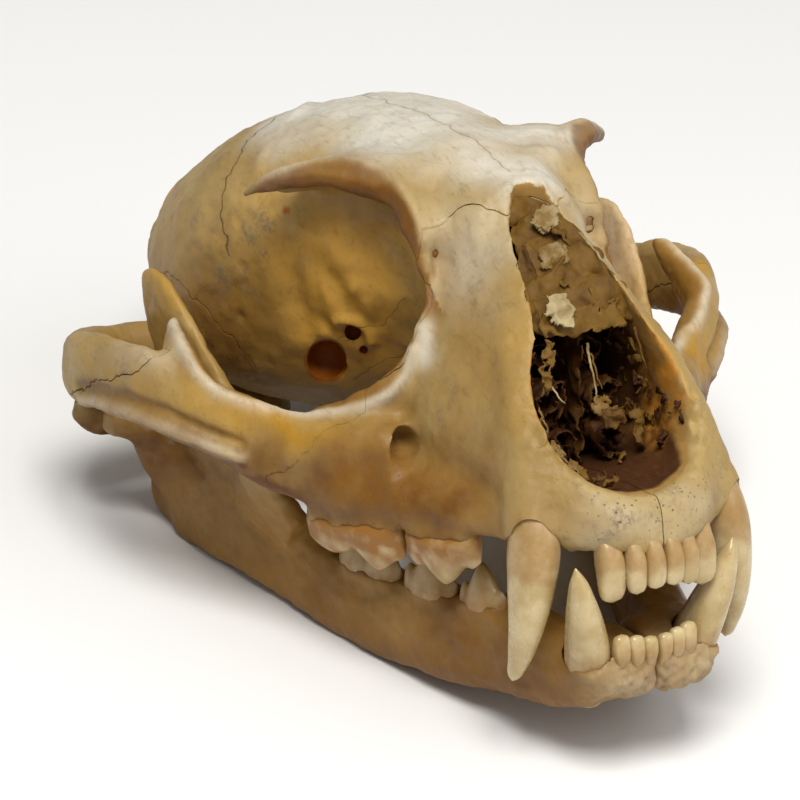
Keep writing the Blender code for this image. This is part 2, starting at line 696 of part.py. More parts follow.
def lower_jaw(name, home, side):
    body = (
        (4.8, 4.6, -15.2, 3.8, 2.9, 0),
        (6.2, 9.5, -16.2, 4.8, 5.0, 0),
        (8.2, 15.5, -16.7, 4.5, 5.8, 0),
        (11.0, 24.0, -15.6, 4.1, 6.8, 2),
        (13.8, 31.0, -15.6, 3.9, 6.9, 3),
        (16.8, 39.0, -15.1, 3.7, 6.7, 4),
        (20.8, 50.0, -13.2, 3.4, 6.3, 5),
        (24.0, 59.0, -10.0, 3.1, 6.0, 6),
        (26.8, 67.0, -7.0, 2.8, 6.4, 6),
        (29.4, 75.0, -5.0, 2.6, 6.6, 4),
        (31.4, 83.0, -4.0, 2.4, 5.6, 0),
    )
    ramus = (
        (24.8, 58.8, -7.0, 2.8, 8.4, 0),
        (28.2, 65.4, -0.4, 2.6, 14.4, 0),
        (31.2, 69.8, 8.0, 2.3, 13.6, 0),
        (33.4, 72.6, 16.0, 2.0, 11.2, 0),
        (35.0, 75.2, 23.0, 1.7, 8.2, 0),
        (36.0, 78.2, 28.6, 1.2, 4.6, 0),
        (36.2, 79.4, 30.4, 0.8, 1.6, 0),
    )
    neck = (
        (30.8, 80.0, -2.0, 2.4, 6.5, 0),
        (32.6, 84.4, 2.0, 3.0, 4.6, 0),
        (35.0, 86.2, 6.4, 4.2, 2.8, 0),
    )
    joint = (
        (26.8, 86.8, 7.0, 2.3, 2.2, 0),
        (31.0, 86.6, 7.2, 2.9, 2.8, 0),
        (37.0, 86.4, 7.4, 2.8, 2.7, 0),
        (41.0, 86.2, 7.6, 2.0, 1.9, 0),
    )
    angle = (
        (29.6, 77.0, -5.0, 2.4, 5.2, 0),
        (31.2, 84.0, -4.6, 2.1, 4.8, 0),
        (32.0, 88.5, -4.0, 1.7, 4.0, 0),
        (32.2, 91.0, -3.8, 1.0, 3.2, 0),
    )
    pieces = [
        rod("body", body, home, side, steps=36, power=3.0),
        rod("ramus", ramus, home, side, stand=(0, 1, 0)),
        rod("neck", neck, home, side),
        rod("joint", joint, home, side),
        rod("angle", angle, home, side),
        ball("chin", (3.2, 9.8, -15.9), (5.4, 7.4, 4.3), home, side, turn=(14, 0, 0)),
    ]
    jaw = fuse(name, pieces, home, softening=3)
    cut(jaw, [ball("muscle_hollow", (39.5, 68.5, 3.0), (9.0, 13.0, 11.0), home, side, turn=(0, 6, 0))])
    return thin_out(jaw, JAW_TRIANGLES)


# The thin bones in the nose

def nose_scrolls(name, home):
    """The septum with curled plates beside it, each open below like a wood shaving."""
    septum = (
        (0.0, 11.0, 14.0, 0.7, 6.5, 0),
        (0.0, 22.0, 18.0, 0.7, 10.5, 0),
        (0.0, 33.5, 20.0, 0.7, 12.0, 0),
    )
    scrolls = rod(name, septum, home)
    thickness = 0.45
    angle = np.linspace(math.radians(215), math.radians(-70), 8)
    for _, side in SIDES:
        for height, radius, front in ((12.5, 2.9, 15.0), (19.0, 3.0, 17.0), (25.5, 2.4, 21.0)):
            rings = []
            for y, share in ((front, 0.8), (front + 6.0, 1.0), (32.5, 1.0)):
                ring = [
                    np.column_stack([
                        radius + size * share * np.cos(angle),
                        np.full(len(angle), y),
                        height + size * share * np.sin(angle),
                    ])
                    for size in (radius + 0.3, radius + 0.3 - 2 * thickness)
                ]
                rings.append(np.concatenate([ring[0], ring[1][::-1]]))
            rings = np.array(rings)
            rings[:, :, 0] *= side
            combine(scrolls, loft("scroll", rings, home), "UNION", "MANIFOLD")
    return scrolls


# Building the whole skull

def finish(obj, look, home):
    """Moves the bone out of the helpers, gives it its material, and shades its round faces smooth."""
    name, colour, roughness = look
    material = bpy.data.materials.get(name)
    if material is None:
        material = bpy.data.materials.new(name)
        material.use_nodes = True
        shader = material.node_tree.nodes["Principled BSDF"]
        shader.inputs["Base Color"].default_value = (*colour, 1.0)
        shader.inputs["Roughness"].default_value = roughness
        shader.inputs["Metallic"].default_value = 0.0
    obj.data.materials.clear()
    obj.data.materials.append(material)
    obj.data.shade_smooth()
    obj.data.set_sharp_from_angle(angle=math.radians(50))
    home["helpers"].objects.unlink(obj)
    home["skull"].objects.link(obj)
    obj.display_type = "TEXTURED"
    obj.hide_render = False
    return obj


def build_cranium(home):
    """The braincase with the temporal bones, both upper jaws and both cheekbones."""
    pieces = cranium_lobes(home)
    for _, side in SIDES:
        pieces += cranium_ridges(home, side) + arch_ridges(home, side)
    cranium = fuse("braincase", pieces, home)
    cut(cranium, cranium_hollows(home))
    skin_over(cranium, 2)
    keep_largest(cranium)
    thin_out(cranium, CRANIUM_TRIANGLES)
    cheekbones = [
        part_off(cranium, cheek_region(home, side), "cheekbone_" + name, home)
        for name, side in SIDES
    ]
    left = part_off(cranium, face_region(home, -40.0, 40.0), "upper_jaw_left", home)
    right = part_off(left, face_region(home, -60.0, 0.0), "upper_jaw_right", home)
    return cranium, cheekbones, {"left": left, "right": right}


def world_points(objects):
    bpy.context.view_layer.update()
    points = [np.array([obj.matrix_world @ v.co for v in obj.data.vertices]) for obj in objects]
    return np.concatenate(points)


def lay_on_jaws(home, jaws):
    """Tips the skull about x until the chin and the jaw's rear corner are level, and flattens both there."""
    points = np.array([v.co for v in jaws[0].data.vertices]) / MM
    front = points[points[:, 1] < 50]
    rear = points[points[:, 1] > 75]
    pitch = 0.0
    for _ in range(6):
        up = np.array([0.0, -math.sin(pitch), math.cos(pitch)])
        chin = front[np.argmin(front @ up)]
        corner = rear[np.argmin(rear @ up)]
        pitch = math.atan2(corner[2] - chin[2], corner[1] - chin[1])
    pose = home["pose"]
    pose.rotation_euler = (-pitch, 0.0, 0.0)
    lowest = world_points(jaws)[:, 2].min()
    pose.location = (0.0, 0.0, -lowest - FLAT_DEPTH * MM)
    bpy.context.view_layer.update()
    for jaw in jaws:
        under = block("table", ((-200, -40), (300, -40), (300, 0), (-200, 0)), -100.0, 100.0, home)
        under.parent = None
        combine(jaw, under, "DIFFERENCE")
        keep_largest(jaw)


def centre_on_floor(home):
    """Brings the middle of the skull's box over the origin, with its flats at z = 0."""
    points = world_points(list(home["skull"].objects))
    middle = (points.min(axis=0) + points.max(axis=0)) / 2
    pose = home["pose"]
    pose.location = pose.location - Vector((middle[0], middle[1], points[:, 2].min()))


def add_jaws_with_teeth(home, upper_jaws, lower_jaws, braincase):
    beyond_middle = ((-20, -60), (40, -60), (40, 10), (-20, 10))
    for name, side in SIDES:
        upper, lower = upper_jaws[name], lower_jaws[name]
        upper_fang = upper_canine("upper_canine_" + name, home, side)
        lower_fang = lower_canine("lower_canine_" + name, home, side)
        combine(lower, block("middle", beyond_middle, -30.0, GAP / 2, home, side=side), "DIFFERENCE")
        for jaw, fang, teeth in (
            (upper, upper_fang, upper_teeth(home, side)),
            (lower, lower_fang, lower_teeth(home, side)),
        ):
            combine(jaw, grown_copy(fang, GAP, home), "DIFFERENCE")
            for tooth in teeth:
                combine(jaw, tooth, "UNION")
            finish(keep_largest(jaw), BONE, home)
            finish(fang, ENAMEL, home)
        bulla = ball("bulla_" + name, (16.2, 95.0, 4.0), (7.2, 11.6, 8.4), home, side, turn=(6, 0, 16))
        combine(braincase, grown_copy(bulla, GAP, home), "DIFFERENCE")
        finish(thin_out(bulla, BULLA_TRIANGLES), BONE, home)


def main():
    for obj in list(bpy.data.objects):
        bpy.data.objects.remove(obj)
    skull = bpy.data.collections.new("caracal_skull")
    helpers = bpy.data.collections.new("helpers")
    bpy.context.scene.collection.children.link(skull)
    bpy.context.scene.collection.children.link(helpers)
    pose = bpy.data.objects.new("pose", None)
    helpers.objects.link(pose)
    home = {"skull": skull, "helpers": helpers, "pose": pose}

    braincase, cheekbones, upper_jaws = build_cranium(home)
    lower_jaws = {name: lower_jaw("lower_jaw_" + name, home, side) for name, side in SIDES}
    lay_on_jaws(home, list(lower_jaws.values()))
    add_jaws_with_teeth(home, upper_jaws, lower_jaws, braincase)
    for bone in (braincase, *cheekbones):
        finish(keep_largest(bone), BONE, home)

    scrolls = thin_out(nose_scrolls("nose_scrolls", home), SCROLL_TRIANGLES)
    combine(scrolls, nasal_hollow("inside_nose", home, growth=-SCROLL_CLEARANCE), "INTERSECT", "MANIFOLD")
    finish(keep_largest(scrolls), THIN_BONE, home)
    centre_on_floor(home)


main()
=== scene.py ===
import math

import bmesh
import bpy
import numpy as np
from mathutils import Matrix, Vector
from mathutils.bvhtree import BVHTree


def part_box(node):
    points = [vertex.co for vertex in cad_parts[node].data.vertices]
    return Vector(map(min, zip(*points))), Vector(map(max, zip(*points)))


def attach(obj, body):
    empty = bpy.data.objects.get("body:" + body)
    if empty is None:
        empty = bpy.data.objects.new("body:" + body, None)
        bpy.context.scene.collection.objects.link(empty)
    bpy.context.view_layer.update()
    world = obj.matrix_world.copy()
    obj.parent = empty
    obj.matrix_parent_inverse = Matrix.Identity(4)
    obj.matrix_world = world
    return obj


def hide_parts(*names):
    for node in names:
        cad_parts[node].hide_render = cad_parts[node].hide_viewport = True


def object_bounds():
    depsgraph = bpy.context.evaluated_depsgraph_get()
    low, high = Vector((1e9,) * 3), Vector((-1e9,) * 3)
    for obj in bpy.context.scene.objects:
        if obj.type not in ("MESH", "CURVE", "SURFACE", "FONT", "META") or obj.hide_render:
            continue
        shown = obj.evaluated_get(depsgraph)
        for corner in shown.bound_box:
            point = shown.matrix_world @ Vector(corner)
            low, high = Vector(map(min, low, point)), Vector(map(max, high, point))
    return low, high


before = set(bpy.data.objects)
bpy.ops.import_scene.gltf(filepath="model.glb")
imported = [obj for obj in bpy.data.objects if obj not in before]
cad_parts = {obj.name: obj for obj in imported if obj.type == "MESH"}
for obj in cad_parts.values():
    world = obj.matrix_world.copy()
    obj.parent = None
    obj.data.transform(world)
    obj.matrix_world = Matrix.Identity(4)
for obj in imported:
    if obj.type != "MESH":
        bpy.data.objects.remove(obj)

# %% [markdown]
# # A caracal skull on a table
#
# The frame brings fourteen solids: the bones and the four long teeth, at their real size and place.
# They are plain, with large facets. This lesson gives every one of them its bone or enamel surface,
# and puts in the small teeth, the ragged rim of the nose, the sutures, the stains, and painted light
# and shade.
#
# The visual model is kept inside the box of the solids, so the box is read now and every vertex is
# held inside it at the end.

cad_box = [list(corner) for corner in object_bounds()]
print("the solids' box:", cad_box)

# %% [markdown]
# ## The skull's own frame
#
# Shapes on a skull are easiest to name in the skull's own frame, in millimetres: x runs to the
# animal's left, y from the incisors back to the occiput, and z up from the rim of the upper tooth
# sockets. The skull lies tipped back on its lower jaws. So a place in the world is the place on the
# skull, turned about x by the tilt and then moved. The move could be a pair of copied numbers, but
# the ball under the ear gives it: its middle is known in both frames.

# %% From the skull's frame to the world and back
MM = 0.001
TILT = math.radians(16.48)
EAR_BALL = np.array([16.2, 95.0, 4.0])

turn = np.array([
    [1.0, 0.0, 0.0],
    [0.0, math.cos(TILT), math.sin(TILT)],
    [0.0, -math.sin(TILT), math.cos(TILT)],
])
ear_low, ear_high = (np.array(corner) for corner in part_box("bulla_left"))
move = (ear_low + ear_high) / 2 - turn @ EAR_BALL * MM


def to_world(places):
    """Millimetres in the skull's frame to metres in the world."""
    return np.asarray(places, float) @ turn.T * MM + move


def to_skull(places):
    """Metres in the world to millimetres in the skull's frame."""
    return (np.asarray(places, float) - move) @ turn / MM


print("the skull's frame starts at", move.round(4))

# %% [markdown]
# ## The camera
#
# The camera stands in front of the skull, on its right and above it. Its place was found by making
# pairs of points that are alike on both sides of the skull agree with the photograph. It looks
# along a direction given by two angles in the skull's frame, and is rolled a little.

# %% Camera
CAMERA_TURN = math.radians(-26.68)  # from straight ahead of the skull to its right side
CAMERA_RISE = math.radians(13.66)
CAMERA_ROLL = math.radians(-3.27)
CAMERA_AWAY = 600.35  # millimetres from the point that it looks at
CAMERA_TARGET = np.array([-9.11, 48.58, 13.65])
FRAME_SIZE = 800  # pixels
FOCAL_PIXELS = 4375.8
CENTRE_PIXEL = (426.3, 396.0)  # where the line of sight meets the picture

backwards = np.array([
    math.sin(CAMERA_TURN) * math.cos(CAMERA_RISE),
    -math.cos(CAMERA_TURN) * math.cos(CAMERA_RISE),
    math.sin(CAMERA_RISE),
])
level = np.array([math.cos(CAMERA_TURN), math.sin(CAMERA_TURN), 0.0])
upright = np.cross(backwards, level)
right = math.cos(CAMERA_ROLL) * level + math.sin(CAMERA_ROLL) * upright
up = -math.sin(CAMERA_ROLL) * level + math.cos(CAMERA_ROLL) * upright

camera_data = bpy.data.cameras.new("camera")
camera_data.sensor_fit = "HORIZONTAL"
camera_data.lens = FOCAL_PIXELS / FRAME_SIZE * camera_data.sensor_width
camera_data.shift_x = -(CENTRE_PIXEL[0] - FRAME_SIZE / 2) / FRAME_SIZE
camera_data.shift_y = (CENTRE_PIXEL[1] - FRAME_SIZE / 2) / FRAME_SIZE
camera_data.clip_start = 0.01
camera_data.clip_end = 20.0
camera = bpy.data.objects.new("camera", camera_data)
bpy.context.scene.collection.objects.link(camera)
camera_axes = (turn @ np.column_stack([right, up, backwards])).tolist()
camera.matrix_world = Matrix(camera_axes).to_4x4()
camera.location = to_world(CAMERA_TARGET + backwards * CAMERA_AWAY)
bpy.context.scene.camera = camera
print("the camera stands at", [round(c, 3) for c in camera.location])

# %% [markdown]
# ## Reading and writing meshes as arrays
#
# Blender can hand over all of a mesh's vertices at once as one flat array, and take them back the
# same way. Everything below works on whole arrays, so a hundred thousand vertices take no longer
# to write about than one.

# %% Arrays in and out of a mesh
def places_of(mesh):
    flat = np.empty(len(mesh.vertices) * 3, np.float32)
    mesh.vertices.foreach_get("co", flat)
    return flat.reshape(-1, 3).astype(float)


def put_places(mesh, places):
    mesh.vertices.foreach_set("co", np.asarray(places, np.float32).ravel())
    mesh.update()


def normals_of(mesh):
    flat = np.empty(len(mesh.vertices) * 3, np.float32)
    mesh.vertex_normals.foreach_get("vector", flat)
    return flat.reshape(-1, 3).astype(float)


def tell(mesh, name, values):
    """Gives every vertex a number that a material can read."""
    told = mesh.attributes.new(name, "FLOAT", "POINT")
    told.data.foreach_set("value", np.asarray(values, np.float32))


def piece_from(name, mesh):
    piece = bpy.data.objects.new(name, mesh)
    bpy.context.scene.collection.objects.link(piece)
    return piece


def joined(name, pieces):
    """One piece in place of several."""
    bm = bmesh.new()
    for piece in pieces:
        bm.from_mesh(piece.data)
        bpy.data.objects.remove(piece)
    mesh = bpy.data.meshes.new(name)
    bm.to_mesh(mesh)
    bm.free()
    mesh.shade_smooth()
    return piece_from(name, mesh)


def sheet_faces(rows, columns, around=False):
    """Faces of a grid of rows by columns of points. Around closes each row on itself."""
    i, j = np.meshgrid(np.arange(rows - 1), np.arange(columns if around else columns - 1), indexing="ij")
    k = (j + 1) % columns
    near, far = i * columns, (i + 1) * columns
    return np.stack([near + j, near + k, far + k, far + j], axis=-1).reshape(-1, 4)


def skin_of(name, rings):
    """A closed skin over rings of equally many points, in skull millimetres, with capped ends."""
    rows, columns = rings.shape[:2]
    faces = [tuple(face) for face in sheet_faces(rows, columns, around=True).tolist()]
    faces.append(tuple(range(columns))[::-1])
    faces.append(tuple(range((rows - 1) * columns, rows * columns)))
    mesh = bpy.data.meshes.new(name)
    mesh.from_pydata(to_world(rings.reshape(-1, 3)).tolist(), [], faces)
    bm = bmesh.new()
    bm.from_mesh(mesh)
    bmesh.ops.remove_doubles(bm, verts=bm.verts, dist=0.000005)
    bmesh.ops.recalc_face_normals(bm, faces=bm.faces)
    bm.to_mesh(mesh)
    bm.free()
    return piece_from(name, mesh)


# %% [markdown]
# ## Curves, distances and lumps
#
# Three small tools shape everything: a smooth curve through a few places, the distance from every
# vertex to a line drawn on the skull, and a field of soft lumps. The lumps could come from a noise
# texture, but a sum of a few dozen waves that run in random directions gives the same kind of
# surface in one line of array arithmetic.

# %% Curves, distances and lumps
SIDES = ((1, "left"), (-1, "right"))


def along(stations, count):
    """Evenly many rows along a smooth curve through stations, whose first three values are a place.

    Each value follows a cubic whose slope at a station is the mean of the slopes beside it."""
    rows = np.array(stations, float)
    steps = np.linalg.norm(np.diff(rows[:, :3], axis=0), axis=1)
    at = np.concatenate([[0], np.cumsum(steps)])
    slope = np.gradient(rows, at, axis=0)
    where = np.linspace(0, at[-1], count)
    i = np.clip(np.searchsorted(at, where) - 1, 0, len(at) - 2)
    width = steps[i][:, None]
    t = ((where - at[i]) / steps[i])[:, None]
    return (
        (2 * t**3 - 3 * t**2 + 1) * rows[i]
        + (t**3 - 2 * t**2 + t) * width * slope[i]
        + (3 * t**2 - 2 * t**3) * rows[i + 1]
        + (t**3 - t**2) * width * slope[i + 1]
    )


def distance_to(places, line):
    """How far each place is from the nearest stretch of a line."""
    line = np.asarray(line, float)
    nearest = np.full(len(places), np.inf)
    for a, b in zip(line[:-1], line[1:]):
        ab = b - a
        t = np.clip((places - a) @ ab / (ab @ ab), 0, 1)
        nearest = np.minimum(nearest, np.linalg.norm(places - a - t[:, None] * ab, axis=1))
    return nearest


def lumps(places, size, seed, waves=36):
    """A sum of waves of about one length in random directions, scaled so that most values lie in -1 to 1."""
    chance = np.random.default_rng(seed)
    ways = chance.normal(size=(waves, 3))
    ways /= np.linalg.norm(ways, axis=1, keepdims=True)
    ways *= 2 * math.pi / (size * chance.uniform(0.7, 1.4, (waves, 1)))
    starts = chance.uniform(0, 2 * math.pi, waves)
    return np.cos(places @ ways.T + starts).sum(axis=1) / math.sqrt(waves)


def layered_lumps(places, layers):
    """Lumps of several sizes, added. A layer is (height, size, seed)."""
    return sum(height * lumps(places, size, seed) for height, size, seed in layers)


def shaken(places, size, seed):
    """Three fields of lumps side by side, one for each axis."""
    return np.column_stack([lumps(places, size, seed + k) for k in range(3)])


def around_place(places, centre, radii):
    """1 at the centre, fading as a bell curve over the radii along x, y and z."""
    return np.exp(-(((places - np.array(centre)) / np.array(radii)) ** 2).sum(axis=1))


def both_sides(places):
    """The same places with the right side folded over to the left."""
    return places * np.where(places[:, :1] < 0, (-1.0, 1.0, 1.0), (1.0, 1.0, 1.0))


def rise(values, low, high):
    """0 below low, 1 above high, with a smooth step between."""
    t = np.clip((values - low) / (high - low), 0, 1)
    return t * t * (3 - 2 * t)


# %% [markdown]
# ## From facets to a fine, even skin
#
# A solid of the frame is loose triangles a few millimetres wide. Subdividing them would keep their
# facets. Instead a copy is merged and covered with an even skin of small squares by the voxel
# Remesh modifier, and the Smooth modifier melts the facets away.

# %% Refining the solids
FINE = 0.5  # width of the skin's squares on large bones, in millimetres


def applied(piece):
    """The piece with its modifiers made real."""
    bpy.context.view_layer.update()
    graph = bpy.context.evaluated_depsgraph_get()
    mesh = bpy.data.meshes.new_from_object(piece.evaluated_get(graph))
    piece.modifiers.clear()
    old, piece.data = piece.data, mesh
    bpy.data.meshes.remove(old)
    return piece


def merged_copy(nodes, name, swell=0.0):
    """Copies of nodes in one mesh, each merged, and swollen along its normals by some millimetres."""
    together = bmesh.new()
    for node in nodes:
        bm = bmesh.new()
        bm.from_mesh(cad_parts[node].data)
        bmesh.ops.remove_doubles(bm, verts=bm.verts, dist=0.000002)
        bmesh.ops.dissolve_degenerate(bm, edges=bm.edges, dist=0.000002)
        mesh = bpy.data.meshes.new(node)
        bm.to_mesh(mesh)
        bm.free()
        put_places(mesh, places_of(mesh) + normals_of(mesh) * swell * MM)
        together.from_mesh(mesh)
        bpy.data.meshes.remove(mesh)
    mesh = bpy.data.meshes.new(name)
    together.to_mesh(mesh)
    together.free()
    mesh.materials.clear()
    return piece_from(name, mesh)


def fine_skin(piece, square=FINE, smoothing=8):
    skin = piece.modifiers.new("skin", "REMESH")
    skin.mode = "VOXEL"
    skin.voxel_size = square * MM
    soften = piece.modifiers.new("soften", "SMOOTH")
    soften.factor = 0.5
    soften.iterations = smoothing
    return applied(piece)


def boolean(piece, other, operation):
    """Joins, cuts or keeps what two closed meshes share. The other mesh is used up."""
    step = piece.modifiers.new("boolean", "BOOLEAN")
    step.operation = operation
    step.solver = "MANIFOLD"
    step.object = other
    applied(piece)
    bpy.data.objects.remove(other)
    return piece


def prism(name, outline, low, high, axis):
    """A closed outline carried along x (the outline is in y and z) or along z (it is in x and y)."""
    outline = np.asarray(outline, float)
    rings = []
    for end in (low, high):
        ends = np.full((len(outline), 1), end)
        rings.append(np.hstack([ends, outline] if axis == "x" else [outline, ends]))
    return skin_of(name, np.array(rings))


def largest_only(piece):
    """Drops loose scraps that a cut has left."""
    bm = bmesh.new()
    bm.from_mesh(piece.data)
    left = set(bm.faces)
    bodies = []
    while left:
        stack, body = [left.pop()], []
        while stack:
            face = stack.pop()
            body.append(face)
            near = {other for edge in face.edges for other in edge.link_faces} & left
            left -= near
            stack.extend(near)
        bodies.append(body)
    bodies.sort(key=len)
    bmesh.ops.delete(bm, geom=[face for body in bodies[:-1] for face in body], context="FACES")
    bm.to_mesh(piece.data)
    bm.free()
    return piece


# %% [markdown]
# ## The cranium in one skin
#
# On the real animal the bones of the face and braincase grow together, and their surfaces run
# smoothly across the sutures. So the five solids of the cranium are first joined again: each is
# swollen by half the gap, and one skin goes over them all. The bones are parted later, along finer,
# wavier lines than the solids have. The small cheek teeth and incisors come off first, because
# they get a shape of their own.

# %% One skin over the cranium
HALF_GAP = 0.16
TOOTH_LINE = 0.3  # the upper jaw's teeth start below this height
FESTOON = 0.35  # the rim of the sockets rises and falls by this much, with the roots under it
ROOT_PLACE, ROOT_SPACING = 22.2, 6.4

cranium_nodes = ["braincase", "cheekbone_left", "cheekbone_right", "upper_jaw_left", "upper_jaw_right"]
cranium = merged_copy(cranium_nodes[:3], "cranium", HALF_GAP)
upper_jaws = merged_copy(cranium_nodes[3:], "upper_jaws", HALF_GAP)
margin_y = np.arange(53.0, 17.9, -0.5)
margin_waves = 1 + np.cos(2 * math.pi * (margin_y - ROOT_PLACE) / ROOT_SPACING)
festoons = np.column_stack([margin_y, TOOTH_LINE + FESTOON * margin_waves])
under_teeth = [(-10, TOOTH_LINE), (-10, -20), (53, -20), *festoons.tolist()]
for jaw_side in (-1, 1):
    ends = sorted((jaw_side * 0.01, jaw_side * 60))
    boolean(upper_jaws, prism("teeth_off", under_teeth, *ends, "x"), "DIFFERENCE")
cranium = fine_skin(joined("cranium", [cranium, upper_jaws]))
print("cranium:", len(cranium.data.polygons), "faces")

# %% [markdown]
# ## Modelling the bone's surface
#
# The skin is now pushed in and out along its normals, by a sum of simple fields: a bell curve over
# the distance to a line makes a ridge or a groove, a bell curve around a place makes a dimple or a
# swelling, and lumps keep it from looking turned on a lathe.

# %% Ridges, grooves and dimples of the cranium
def ridge(places, line, width):
    """1 along the line, fading as a bell curve over the width."""
    return np.exp(-((distance_to(places, line) / width) ** 2))


BROW_EDGE = (
    (28.6, 62.2, 42.6), (26.5, 60.1, 44.4), (24.0, 57.7, 45.8), (21.3, 55.4, 46.7), (17.8, 53.2, 47.0),
    (15.2, 49.3, 46.4), (13.8, 45.5, 44.9), (13.5, 42.0, 42.9), (13.4, 39.2, 40.1), (13.3, 38.0, 37.1),
    (13.4, 37.6, 33.8),
)
CHEEK_EDGE = (
    (39.0, 65.0, 25.8), (39.9, 60.3, 23.5), (40.1, 55.1, 20.7), (38.1, 53.3, 18.1), (35.4, 50.8, 16.6),
    (31.9, 48.8, 15.5), (29.2, 45.5, 15.2), (26.3, 41.9, 15.4), (23.6, 39.0, 16.3), (20.7, 36.9, 18.0),
    (18.4, 36.0, 20.4), (17.2, 35.7, 23.7),
)
ARCH_GROOVE = (
    (47.6, 80, 15.0), (47.3, 74.6, 16.0), (46.6, 64.2, 16.4), (44.3, 57.9, 15.2), (41.1, 53.7, 13.2),
    (37.2, 49.6, 11.2),
)
ARCH_LEDGE = (
    (47.6, 80, 12.9), (47.3, 74.6, 13.8), (46.6, 64.2, 14.2), (44.3, 57.9, 13.0), (41.1, 53.7, 11.2),
    (37, 49.4, 9.2),
)
RELIEF_LINES = (  # millimetres out, width, line
    (0.4, 1.1, ((28.3, 63.6, 42.4), (24, 70, 43), (20.6, 75, 43), (15, 79, 46), (8.6, 84, 49), (3, 93, 48),
                (0, 104, 43))),
    (0.65, 1.1, BROW_EDGE),
    (-0.9, 1.9, ((26, 62.5, 42.0), (23.5, 60.3, 42.8), (21, 58.2, 43.4), (17.8, 55.8, 43.2), (15.4, 52, 42.4),
                 (13.8, 48, 41), (12.6, 44.5, 39), (11.9, 42, 36.5), (12.0, 41, 33.0))),
    (0.5, 0.9, CHEEK_EDGE),
    (-0.35, 1.6, ((38.5, 57.5, 17.6), (37.0, 50.5, 14.2), (33.2, 46.0, 12.2))),
    (0.5, 1.6, ((24, 62, 41), (18, 63, 35), (15, 65, 28), (13.5, 64, 22))),
    (-1.0, 1.1, ARCH_GROOVE),
    (0.8, 0.9, ARCH_LEDGE),
    (0.55, 2.6, ((16.8, 60.1, 34.1), (14.9, 58.0, 32.1), (14.6, 57.7, 27.8))),
    (0.9, 0.8, ((15.6, 61.4, 23.0), (15.0, 60.6, 23.4), (13.7, 59.1, 22.9), (12.5, 58.5, 21.4),
                (12.2, 58.6, 19.9))),
    (-0.7, 1.9, ((12.5, 51.6, 36.5), (11.2, 48.6, 33.0), (10.6, 48.4, 27.5), (9.6, 52.0, 22.5))),
    (-0.5, 1.9, ((21.0, 66.3, 33.5), (20.1, 66.3, 30.5), (19.2, 65.8, 25.8), (18.6, 67.0, 22.5))),
    (0.5, 1.2, ((18.5, 63.5, 20.6), (17.0, 64.0, 20.9), (13.6, 63.0, 20.0))),
)
RELIEF_PLACES = (  # millimetres out, middle, radii
    (-0.7, (22.0, 31.5, 9.5), (4.0, 5.0, 3.5)),
    (0.4, (20.5, 21.5, 3.5), (3.0, 2.2, 4.0)),
    (0.4, (23.5, 29.0, 3.0), (3.0, 2.0, 3.5)),
    (0.4, (29.0, 43.0, 3.5), (3.0, 3.0, 4.0)),
    (0.4, (21.0, 62.6, 40.2), (1.6, 1.6, 1.3)),
    (-0.4, (13.3, 53.0, 35.4), (2.6, 3.2, 2.2)),
    (0.6, (15.8, 35.6, 25.6), (1.0, 1.4, 2.6)),
    (-0.5, (24.6, 74.4, 22.8), (0.8, 0.8, 0.8)),
    (-0.5, (27.0, 35.5, 8.0), (4.0, 4.0, 3.0)),
)
SWIRL = (14.8, 58.0, 28.0)  # the middle of the faint rings on the wall behind the eye
RING_SPACING = 4.6
CRANIUM_LAYERS = ((0.12, 9.0, 1), (0.07, 3.5, 2), (0.03, 1.6, 4))


def cranium_relief(places):
    """Millimetres outwards, from places in the skull's frame."""
    folded = both_sides(places)
    relief = sum(height * ridge(folded, line, width) for height, width, line in RELIEF_LINES)
    relief += sum(height * around_place(folded, middle, radii) for height, middle, radii in RELIEF_PLACES)
    ring = np.linalg.norm(folded - np.array(SWIRL), axis=1) + 0.9 * lumps(places, 7.0, 7)
    rings = np.cos(2 * math.pi * ring / RING_SPACING)
    relief += 0.24 * around_place(folded, SWIRL, (8.0, 9.0, 11.0)) * rings
    behind_eye = around_place(folded, (17, 62, 28), (9.0, 12.0, 12.0))
    relief += 0.3 * behind_eye * lumps(places * (1, 1, 0.6), 5.0, 8)
    mottled = around_place(folded, (24.5, 75.0, 32.0), (7.0, 9.0, 7.0))
    relief += 0.12 * mottled * np.minimum(lumps(places, 2.0, 3), 0.4)
    return relief + layered_lumps(places, CRANIUM_LAYERS)


def push_out(piece, relief):
    mesh = piece.data
    places = places_of(mesh)
    put_places(mesh, places + normals_of(mesh) * (relief(to_skull(places)) * MM)[:, None])
    return piece


push_out(cranium, lambda places: cranium_relief(places) - HALF_GAP)

# %% [markdown]
# ## Holes behind the eye, and the broken rim of the nose
#
# Nerves and vessels leave the braincase through round holes behind the eye. They are drilled like a
# real hole: a tapering plug is pushed in and taken away. The rim of the nose is broken, so what
# lies close to it is moved about by lumps of two sizes.

# %% Holes and the nose's ragged rim
NOSE_RIM = (  # half width, y and z, from the top down
    (1.0, 40.0, 47.5), (2.5, 34.1, 45.3), (4.0, 27.7, 40.8), (5.5, 21.3, 36.9), (7.0, 17.1, 32.2),
    (9.5, 14.3, 26.4), (11.0, 12.4, 20.3), (12.0, 10.9, 15.2), (10.5, 8.6, 12.0), (7.0, 4.4, 9.0),
    (3.0, 2.2, 7.4), (0.0, 1.8, 7.2),
)
BEHIND_EYE = (-0.436, 0.868, -0.236)  # the way the holes lead, on the left side


